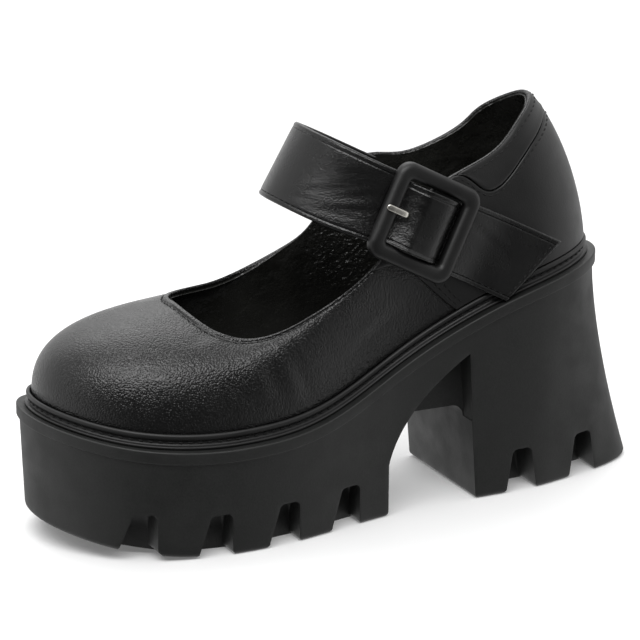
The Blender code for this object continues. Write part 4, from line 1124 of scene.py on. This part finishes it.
def build_sole():
    """Sole: wall rings with a rounded foot and lip, cut by grooves and arch, its new edges eased."""
    u = stations(288)
    a = np.linspace(0, math.pi / 2, 5)
    floor = sole_wall(u, 0.0)
    drawn = outline(u, WALL_TAPER + FLOOR_CHAMFER) - outline(u, WALL_TAPER)
    rings = []
    for t in a[:-1]:
        ring = floor.copy()
        ring[:, :2] += drawn * (1 - math.sin(t))
        ring[:, 2] = sole_bottom(ring[:, 0]) + FLOOR_CHAMFER * (1 - math.cos(t))
        rings.append(ring)
    rings += [sole_wall(u, level) for level in np.linspace(0, 1, 14)]
    rings.append(raised(u, LIP_STEP - 0.1 * MM, -LIP_HEIGHT - 0.3 * MM))
    for t in a:
        rings.append(raised(u, LIP_ROUND * (1 - math.sin(t)), -LIP_HEIGHT + LIP_ROUND * (1 - math.cos(t))))
    for t in a:
        rings.append(raised(u, SHOWN_LIP_ROUND * (1 - math.cos(t)), SHOWN_LIP_ROUND * (math.sin(t) - 1)))
    rings.append(raised(u, LEDGE + RAND_THICKNESS, 0))
    sole = add_piece("sole_unit", np.concatenate(rings), tube_faces(len(rings), len(u)), SOLE_RUBBER,
                     "outsole", CUT_ANGLE)
    wide = BALL_WIDTH
    core = HEEL_WIDTH / 2 - SKIRT_DEPTH
    blocks = [cutter(across_shoe(arch_side(), -wide, wide)), cutter(across_shoe(skirt_side(), core, wide)),
              cutter(across_shoe(skirt_side(), -wide, -core))]
    blocks += [cutter(recess_rings(groove_side(*place), reach, side))
               for _, reach, *place in groove_places() for side in (1, -1)]
    cut_away(sole, blocks)
    ease_edges(sole)


# Strap

STRAP_EDGE = 0.9 * MM       # rounding of its edges
STRAP_STITCH = 2.1 * MM     # stitches from its edge
WINDOW_CURL = 1.1 * MM      # rise of its edges inside the buckle's window
WINDOW_RISE = 5.6 * MM      # rise of the strap in the buckle's window
WINDOW_TOP = 2.6 * MM       # how far before the centre bar it is full
WINDOW_FALL = 3.2           # power of its fall to the rear bar
CURL_START = 4 * MM         # run from the window's bars over which the curl grows
STITCH_ROW = np.array([1.5, 1.9, 2.1, 2.3, 2.7]) * MM       # insets across the row of stitches
STITCH_SINK = np.array([0.0, -0.20, -0.34, -0.20, 0.0]) * MM    # how far each is sunk
STRAP_RIM = 0.04 * MM       # half thickness left where the two faces meet
FINE_PART = 0.022           # length with fine rows, to each side of the centre bar

# Creases of the strap: way from the centre bar and across in millimetres, turn in degrees, then half length,
# half width and height in millimetres
STRAP_CREASES = (
    ("lower trough before the buckle", -30, -6, 18, 11, 1.1, -0.16),
    ("lower ridge before the buckle", -31, -4, 18, 11, 1.3, 0.13),
    ("low trough before the buckle", -34, -9.5, 10, 9, 1.0, -0.16),
    ("middle trough before the buckle", -27, 1, 30, 8, 1.1, -0.12),
    ("middle ridge before the buckle", -28, 3, 30, 8, 1.3, 0.10),
    ("upper trough before the buckle", -33, 8, 20, 9, 1.2, -0.10),
    ("lower edge swell", -18, -15, 0, 14, 8, 1.3),
    ("upper edge swell", -30, 15, 0, 24, 9, 1.3),
    ("far trough", -47, -5, 25, 9, 1.2, -0.10),
    ("far ridge", -48, -3, 25, 9, 1.4, 0.08),
    ("far low trough", -52, -10, 14, 8, 1.0, -0.18),
    ("window upper fold", -5, 8, 12, 8, 1.3, 0.14),
    ("window lower fold", -4, -8, -10, 8, 1.4, 0.14),
    ("trough after the buckle", 30, 5, -14, 9, 1.3, -0.18),
    ("ridge after the buckle", 31, 8, -14, 9, 1.4, 0.14),
)


class Strap:
    """Middle line of the strap, and the place of any point on it."""

    def __init__(self):
        self.knots = strap_knots()
        self.length = np.append(0, np.cumsum(np.hypot(*np.diff(self.knots[:, :2], axis=0).T)))
        self.middle = self.length[[row[0] for row in STRAP_PATH].index("buckle")]
        self.end = self.length[-1]

    def at(self, rows, side_of, inset, out):
        """Point at a run along the strap, a side from -1 to 1, in from that edge, and out of its middle."""
        rows, side_of, inset, out = np.broadcast_arrays(rows, side_of, inset, out)
        reach, side, level, half = (smooth(self.length, self.knots[:, i], rows) for i in range(4))
        before = rows - self.middle
        bar = BUCKLE_ALONG / 2
        half = drawn_in(half, before)
        turn = np.stack([smooth(self.length, self.knots[:, i], rows + 1e-5)
                         - smooth(self.length, self.knots[:, i], rows - 1e-5) for i in (0, 1)])
        turn /= np.hypot(*turn)
        near_bar = np.clip(np.abs(before) / WINDOW_HALF, 0, 1)
        up = np.clip((WINDOW_HALF + before) / (WINDOW_HALF - WINDOW_TOP), 0, 1)
        rise = WINDOW_RISE * np.where(before < 0, up * up * (3 - 2 * up), 1 - near_bar ** WINDOW_FALL)
        reach, side = reach + turn[1] * rise, side - turn[0] * rise
        slant = np.clip((before - bar) / (self.end - self.middle - bar), 0, 1)
        forward = STRAP_FORWARD * np.clip(1 - np.abs(side) / STRAP_SPREAD, 0, 1)
        width = side_of * (half - inset)
        over_reach = reach + out * turn[1] - slant * STRAP_SLANT * width / half / 2 - width * forward
        over_side = side - out * turn[0] - width * strap_lean(side)
        return tilted(over_reach, over_side, level + width)

    def lift(self, rows, side_of, half):
        """Rise of the outer face: its creases, and its edges curled up inside the buckle's window."""
        x = (rows - self.middle) / MM
        y = side_of * half / MM
        total = np.zeros(np.broadcast(x, y).shape)
        for _, along, across, turn, length, width, height in STRAP_CREASES:
            c, s = math.cos(math.radians(turn)), math.sin(math.radians(turn))
            a, b = (x - along) * c + (y - across) * s, (y - across) * c - (x - along) * s
            total = total + height * MM * np.exp(-(a / length) ** 2 - (b / width) ** 2)
        inside = np.clip((WINDOW_HALF - np.abs(x) * MM) / CURL_START, 0, 1)
        return total + WINDOW_CURL * inside * np.abs(side_of) ** 6


def strap_section():
    """Side, inset and half thickness of the points across the strap: quarter circles at both edges, a sunk
    row of stitches inside each, and a flat middle."""
    thick = STRAP_THICKNESS / 2
    a = np.linspace(0, math.pi / 2, 6)
    edge, down = STRAP_EDGE * (1 - np.cos(a)), STRAP_EDGE * (1 - np.sin(a))
    flat = np.linspace(-0.93, 0.93, 31)
    side_of = np.concatenate([-np.ones(11), flat, np.ones(11)])
    inset = np.concatenate([edge, STITCH_ROW, 0 * flat, STITCH_ROW[::-1], edge[::-1]])
    out = thick + np.concatenate([-down, STITCH_SINK, 0 * flat, STITCH_SINK[::-1], -down[::-1]])
    order = np.argsort(side_of * (STRAP_WIDTH / 2 - inset), kind="stable")
    return [np.concatenate([[first], values[order], [last]]) for first, values, last in (
        (-1.0, side_of, 1.0), (STRAP_EDGE / 2, inset, STRAP_EDGE / 2), (STRAP_RIM, out, STRAP_RIM))]


def build_strap(strap):
    """Band: a flat section with half round edges carried along the strap, thinner at both ends."""
    fine = (strap.middle - FINE_PART, strap.middle + FINE_PART)
    rows = np.concatenate([np.linspace(0, fine[0], 130)[:-1], np.linspace(*fine, 90),
                           np.linspace(fine[1], strap.end, 60)[1:]])
    side_of, inset, out = strap_section()
    half = STRAP_WIDTH / 2
    ends = np.minimum(rows, strap.end - rows)[:, None]
    share_out = 0.35 + 0.65 * np.sqrt(1 - (1 - np.clip(ends / STRAP_EDGE, 0, 1)) ** 2)
    lift = strap.lift(rows[:, None], (side_of * (1 - inset / half))[None, :], half)
    face = strap.at(rows[:, None], side_of[None, :], inset[None, :], out[None, :] * share_out + lift)
    back = strap.at(rows[:, None], side_of[None, :], inset[None, :], -np.abs(out)[None, :] * share_out)
    back[:, 0] = back[:, 0] * 0.75 + face[:, 0] * 0.25
    add_slab("strap_band", back, face, STRAP_LEATHER, "strap")


def rounded_box(half_along, half_across, corner, count):
    """Rounded rectangle as a closed line: even steps of angle in each corner and along each side."""
    points = []
    for turn, (sx, sy) in enumerate(((1, 1), (-1, 1), (-1, -1), (1, -1))):
        a = turn * math.pi / 2 + np.linspace(0, math.pi / 2, count)
        points.append(np.stack([sx * (half_along - corner) + corner * np.cos(a),
                                sy * (half_across - corner) + corner * np.sin(a)], axis=-1))
    corners = np.concatenate(points)
    after = np.roll(corners, -1, axis=0)
    straight = np.linalg.norm(after - corners, axis=-1) > 3 * MM
    return np.concatenate([np.linspace(p, q, 12)[:-1] if side else p[None]
                           for p, q, side in zip(corners, after, straight)])


def build_buckle(buckle):
    """Covered frame: a pillow-shaped section carried round the window, and the covered centre bar."""
    outer = rounded_box(BUCKLE_ALONG / 2, BUCKLE_ACROSS / 2, BUCKLE_CORNER, 12)
    inner = rounded_box(BUCKLE_ALONG / 2 - BUCKLE_BAR, BUCKLE_ACROSS / 2 - BUCKLE_BAR, WINDOW_CORNER, 12)
    under = STRAP_THICKNESS / 2 + GAP
    a = np.linspace(0, 2 * math.pi, 33)[:-1]
    bulge = np.stack([squared(np.cos(a), 0.72), squared(np.sin(a), np.where(np.sin(a) > 0, 0.95, 0.4))],
                     axis=-1)
    away = 0.5 + 0.5 * bulge[:, 0]
    high = np.where(bulge[:, 1] > 0, 0.42 + 0.58 * bulge[:, 1], 0.42 * (1 + bulge[:, 1]))
    rings = []
    for w, h in zip(away, high):
        plan = inner + (outer - inner) * w
        rings.append(buckle(plan[:, 0], plan[:, 1], under + h * BUCKLE_DEPTH))
    rings = np.stack(rings)
    add_piece("buckle_cover", rings, grid_quads(*rings.shape[:2], True, True), BUCKLE_LEATHER,
              "buckle_frame")
    t = np.linspace(-1, 1, 24)[:, None] * (BUCKLE_ACROSS - BUCKLE_BAR) / 2
    b = np.arange(20)[None, :] * math.pi / 10
    bar = buckle(CENTRE_BAR_RADIUS * np.cos(b), t, CENTRE_BAR_LEVEL + CENTRE_BAR_RADIUS * np.sin(b))
    add_piece("centre_bar_cover", bar, tube_faces(*bar.shape[:2]), BUCKLE_LEATHER, "")


PRONG_ROUND = 1.2 * MM      # length of its round tip
PRONG_ADDED = 1.0 * MM      # length added at the tip, because the rounding takes some of it off


def build_prong(buckle):
    """Prong: a flat oval section carried along its bent line, narrowed to a round tip."""
    line = prong_line()
    line[-1, 0] += PRONG_ADDED
    run = runs_of(line)
    t = np.concatenate([np.linspace(0, run[-1] - PRONG_ROUND, 70),
                        run[-1] - PRONG_ROUND * np.cos(np.linspace(0, 1.5, 8))[1:]])
    line = at_runs(t, run, line)
    for _ in range(3):
        line[1:-1] = (line[:-2] + 2 * line[1:-1] + line[2:]) / 4
    way = np.gradient(line, axis=0)
    way /= np.linalg.norm(way, axis=1)[:, None]
    square = np.stack([-way[:, 1], way[:, 0]], axis=-1)
    left = run[-1] - t
    tip = np.sqrt(np.clip(1 - (1 - np.clip(left / PRONG_ROUND, 0, 1)) ** 2, 0.02, 1))[:, None]
    a = np.arange(20) * math.pi / 10
    wide = squared(np.cos(a), 0.7) * PRONG_WIDTH / 2
    deep = squared(np.sin(a), 0.8) * PRONG_THICKNESS / 2
    before = line[:, :1] + square[:, :1] * deep[None, :] * tip
    out = line[:, 1:] + square[:, 1:] * deep[None, :] * tip
    points = buckle(before, wide[None, :] * tip, out)
    add_piece("prong_tongue", points, tube_faces(*points.shape[:2]), PRONG_METAL, "buckle_prong")


# Stitches
RAND_SEAT = (5.05 * MM, 2.75 * MM)  # inset from the lip's edge and height over the lip of the rand's stitches
QUARTER_ROWS = (1.7 * MM, 3.5 * MM)     # the two rows on each front seam, in from the panel's edge
COLLAR_ROW = 2.0 * MM       # the row on the quarter, down from the collar seam


def along_line(points, normals, step):
    """Places at even steps on a line of points, with the way of the line and the normal at each."""
    run = runs_of(points)
    at = np.arange(step / 2, run[-1], step)
    place, up = at_runs(at, run, points), at_runs(at, run, normals)
    ahead = at_runs(at + 1e-4, run, points) - at_runs(at - 1e-4, run, points)
    ahead /= np.linalg.norm(ahead, axis=-1)[:, None]
    up = up - ahead * np.sum(up * ahead, axis=-1)[:, None]
    return place, ahead, up / np.linalg.norm(up, axis=-1)[:, None]


def build_stitches(name, lines, step, long, thick, proud=0.10 * MM):
    """Stitches: short threads laid along lines, each a round section that narrows and dips at both ends."""
    sets = [along_line(points, normals, step) for points, normals in lines]
    place, ahead, up = (np.concatenate([s[i] for s in sets]) for i in range(3))
    across = np.cross(ahead, up)
    t = np.linspace(-1, 1, 6)
    a = np.arange(6) * math.pi / 3
    size = np.sqrt(np.clip(1 - t ** 4, 0.12, 1))
    dip = proud - 1.6 * thick * t ** 4
    way = ahead + 0.10 * across * np.where(np.arange(len(place)) % 2 == 0, 1, 0.6)[:, None]
    points = (place[:, None, None] + way[:, None, None] * (t * long / 2)[None, :, None, None]
              + up[:, None, None] * (dip[:, None] + size[:, None] * thick * np.sin(a))[None, ..., None]
              + across[:, None, None] * (size[:, None] * thick * np.cos(a))[None, ..., None])
    ends = np.array([[0, 1, 2, 3], [0, 3, 4, 5], [30, 33, 32, 31], [30, 35, 34, 33]])
    one = np.concatenate([grid_quads(6, 6, False, True), ends])
    faces = one[None] + (np.arange(len(place)) * 36)[:, None, None]
    add_piece(name, points, faces.reshape(-1, 4), THREAD, "", 80)


def upper_line(u, distance, offset):
    """Line on the upper at a distance from its top edge, with its normals."""
    v = from_top(u, np.array([distance]))[:, 0]
    return last_offset(u, v, offset), face_normal(u, v)


def quarter_line(along, up):
    """Line on the quarter panel through places along and up, with its normals."""
    at, v = quarter_place(along, up)
    return last_offset(at, v, GAP + QUARTER_THICKNESS)[:, 0], face_normal(at, v)[:, 0]


def build_all_stitches(strap):
    """Rows of stitches on the throat, the collar, the quarters' seams, the rand and the strap."""
    lines = [upper_line(np.linspace(0.385, 1.60, 900), STITCH_IN, -0.26 * MM),
             upper_line(np.linspace(-COLLAR_BAND_END, COLLAR_BAND_END, 500), STITCH_IN,
                        GAP + QUARTER_THICKNESS)]
    up = np.linspace(0.03, 0.965, 120)[:, None]
    lines += [quarter_line(side * (1 - inset / QUARTER_REACH), up)
              for side in (-1, 1) for inset in QUARTER_ROWS]
    lines.append(quarter_line(np.linspace(-0.80, 0.80, 400)[:, None], 1 - COLLAR_ROW / QUARTER_RISE))
    build_stitches("upper_stitches", lines, step=3.1 * MM, long=2.3 * MM, thick=0.26 * MM)

    u = np.linspace(0, 2, 1400)
    seat = raised(u, *RAND_SEAT)
    outward = raised(u, 0.0, RAND_SEAT[1]) - seat
    outward[:, 2] = 0.6 * MM
    build_stitches("rand_stitches", [(seat, outward)], step=3.9 * MM, long=2.8 * MM,
                   thick=0.42 * MM, proud=0.0)

    out = STRAP_THICKNESS / 2
    bar = BUCKLE_ALONG / 2
    last = strap.end - STRAP_STITCH
    lines = []
    for start, end in ((4 * MM, strap.middle - bar + 1 * MM), (strap.middle + bar - 1 * MM, last)):
        rows = np.linspace(start, end, 400)
        for side in (-1.0, 1.0):
            low = strap.at(rows, side, STRAP_STITCH, out - 0.42 * MM)
            lines.append((low, strap.at(rows, side, STRAP_STITCH, out + MM) - low))
    side = np.linspace(-1, 1, 80)
    low = strap.at(last, side, STRAP_STITCH, out - 0.20 * MM)
    lines.append((low, strap.at(last, side, STRAP_STITCH, out + MM) - low))
    build_stitches("strap_stitches", lines, step=3.1 * MM, long=2.3 * MM, thick=0.24 * MM)


# Light, floor and camera

CAMERA_TARGET = Vector((0.09319, 0.0, 0.0751))
CAMERA_TURN = 64.66         # degrees from +X to +Y
CAMERA_RISE = 17.16
CAMERA_DISTANCE = 1.3784
CAMERA_LENS = 192.7
CAMERA_ROLL = -0.0666

FLOOR_HALF = 8.0            # half its width
FLOOR_GLOW = 0.12           # strength of its own light
SUN_POWER = 1.1
SUN_SPREAD = 52             # degrees across, so its shadows are soft
ROOM_BRIGHT = 0.9           # strength of the white walls
ROOM_DIM = 0.07             # and of the dark side, where the camera stands
DIM_TURN = 14               # middle of the dark side, in degrees past the camera's turn
DIM_EDGE = -0.15            # cosine of the turn from there at which the walls are fully bright


def heading(turn, rise):
    """Unit vector at a turn from +X to +Y and a rise over the floor, in degrees."""
    a, e = math.radians(turn), math.radians(rise)
    return Vector((math.cos(a) * math.cos(e), math.sin(a) * math.cos(e), math.sin(e)))


def build_floor():
    """Plain white paper floor, wider than the view."""
    made, tree, shader, place = new_material("white_paper_floor")
    mottled(tree, place, ("#ebebeb", "#efefef"), 0.3, shader.inputs["Base Color"])
    shader.inputs["Roughness"].default_value = 0.9
    shader.inputs["Emission Color"].default_value = (1, 1, 1, 1)
    shader.inputs["Emission Strength"].default_value = FLOOR_GLOW
    mesh = bpy.data.meshes.new("floor")
    corners = [(x * FLOOR_HALF, y * FLOOR_HALF, 0) for x, y in ((-1, -1), (1, -1), (1, 1), (-1, 1))]
    mesh.from_pydata(corners, [], [(0, 1, 2, 3)])
    mesh.materials.append(made)
    floor = in_scene("floor", mesh)
    floor.visible_glossy = False


def aimed(name, data, way, away=0.0):
    """Object at a distance on a heading from the shoe, facing it."""
    made = in_scene(name, data)
    made.location = CAMERA_TARGET + way * away
    made.rotation_mode = "QUATERNION"
    made.rotation_quaternion = way.to_track_quat("Z", "Y")
    return made


def softbox(name, turn, rise, away, width, height, power):
    """Rectangular light at a heading and distance from the shoe, facing it."""
    lamp = bpy.data.lights.new(name, "AREA")
    lamp.shape, lamp.size, lamp.size_y, lamp.energy = "RECTANGLE", width, height, power
    made = aimed(name, lamp, heading(turn, rise), away)


def build_light():
    """Softbox over the camera, broad light from behind, and white walls but for the camera's own side."""
    softbox("front_softbox", turn=57, rise=54, away=1.5, width=1.9, height=0.75, power=22)
    lamp = bpy.data.lights.new("back_light", "SUN")
    lamp.energy, lamp.angle = SUN_POWER, math.radians(SUN_SPREAD)
    made = aimed("back_light", lamp, heading(-105, 54))
    world = bpy.data.worlds.new("room")
    world.use_nodes = True
    tree = world.node_tree
    way = add_node(tree, "ShaderNodeTexCoord").outputs["Generated"]
    dim = heading(CAMERA_TURN + DIM_TURN, 0)
    facing = add_node(tree, "ShaderNodeVectorMath", {0: way, 1: dim}, operation="DOT_PRODUCT")
    bright = add_node(tree, "ShaderNodeMapRange", {
        "Value": facing.outputs["Value"], "From Min": 1.0, "From Max": DIM_EDGE, "To Min": ROOM_DIM,
        "To Max": ROOM_BRIGHT},
        interpolation_type="SMOOTHSTEP")
    back = tree.nodes["Background"]
    back.inputs["Color"].default_value = linear("#ffffff")
    tree.links.new(bright.outputs["Result"], back.inputs["Strength"])
    bpy.context.scene.world = world


def build_camera():
    """Camera at the photo's own angle and distance."""
    data = bpy.data.cameras.new("camera")
    data.sensor_width, data.lens = 36.0, CAMERA_LENS
    data.clip_start, data.clip_end = 0.05, 50
    made = aimed("camera", data, heading(CAMERA_TURN, CAMERA_RISE), CAMERA_DISTANCE)
    made.rotation_quaternion = made.rotation_quaternion @ Quaternion((0, 0, 1), math.radians(CAMERA_ROLL))
    bpy.context.scene.camera = made


def main():
    """Build the look of the shoe, light it and set the camera."""
    strap = Strap()
    buckle = buckle_frame_on(strap.knots)
    build_sole()
    build_rand()
    build_upper()
    build_quarter()
    build_collar_band()
    build_insole()
    build_strap(strap)
    build_buckle(buckle)
    build_prong(buckle)
    build_all_stitches(strap)
    finishes = {
        "outsole": SOLE_RUBBER, "rand": RAND_PLASTIC, "upper": UPPER_LEATHER, "quarter": QUARTER_LEATHER,
        "collar_band": QUARTER_LEATHER, "insole": INSOLE_LEATHER, "strap": STRAP_LEATHER,
        "buckle_frame": BUCKLE_LEATHER, "buckle_prong": PRONG_METAL}
    for name, skin in finishes.items():
        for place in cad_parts[name].material_slots:
            place.material = skin
    build_floor()
    build_light()
    build_camera()
    bpy.context.scene.view_settings.view_transform = "Standard"


main()
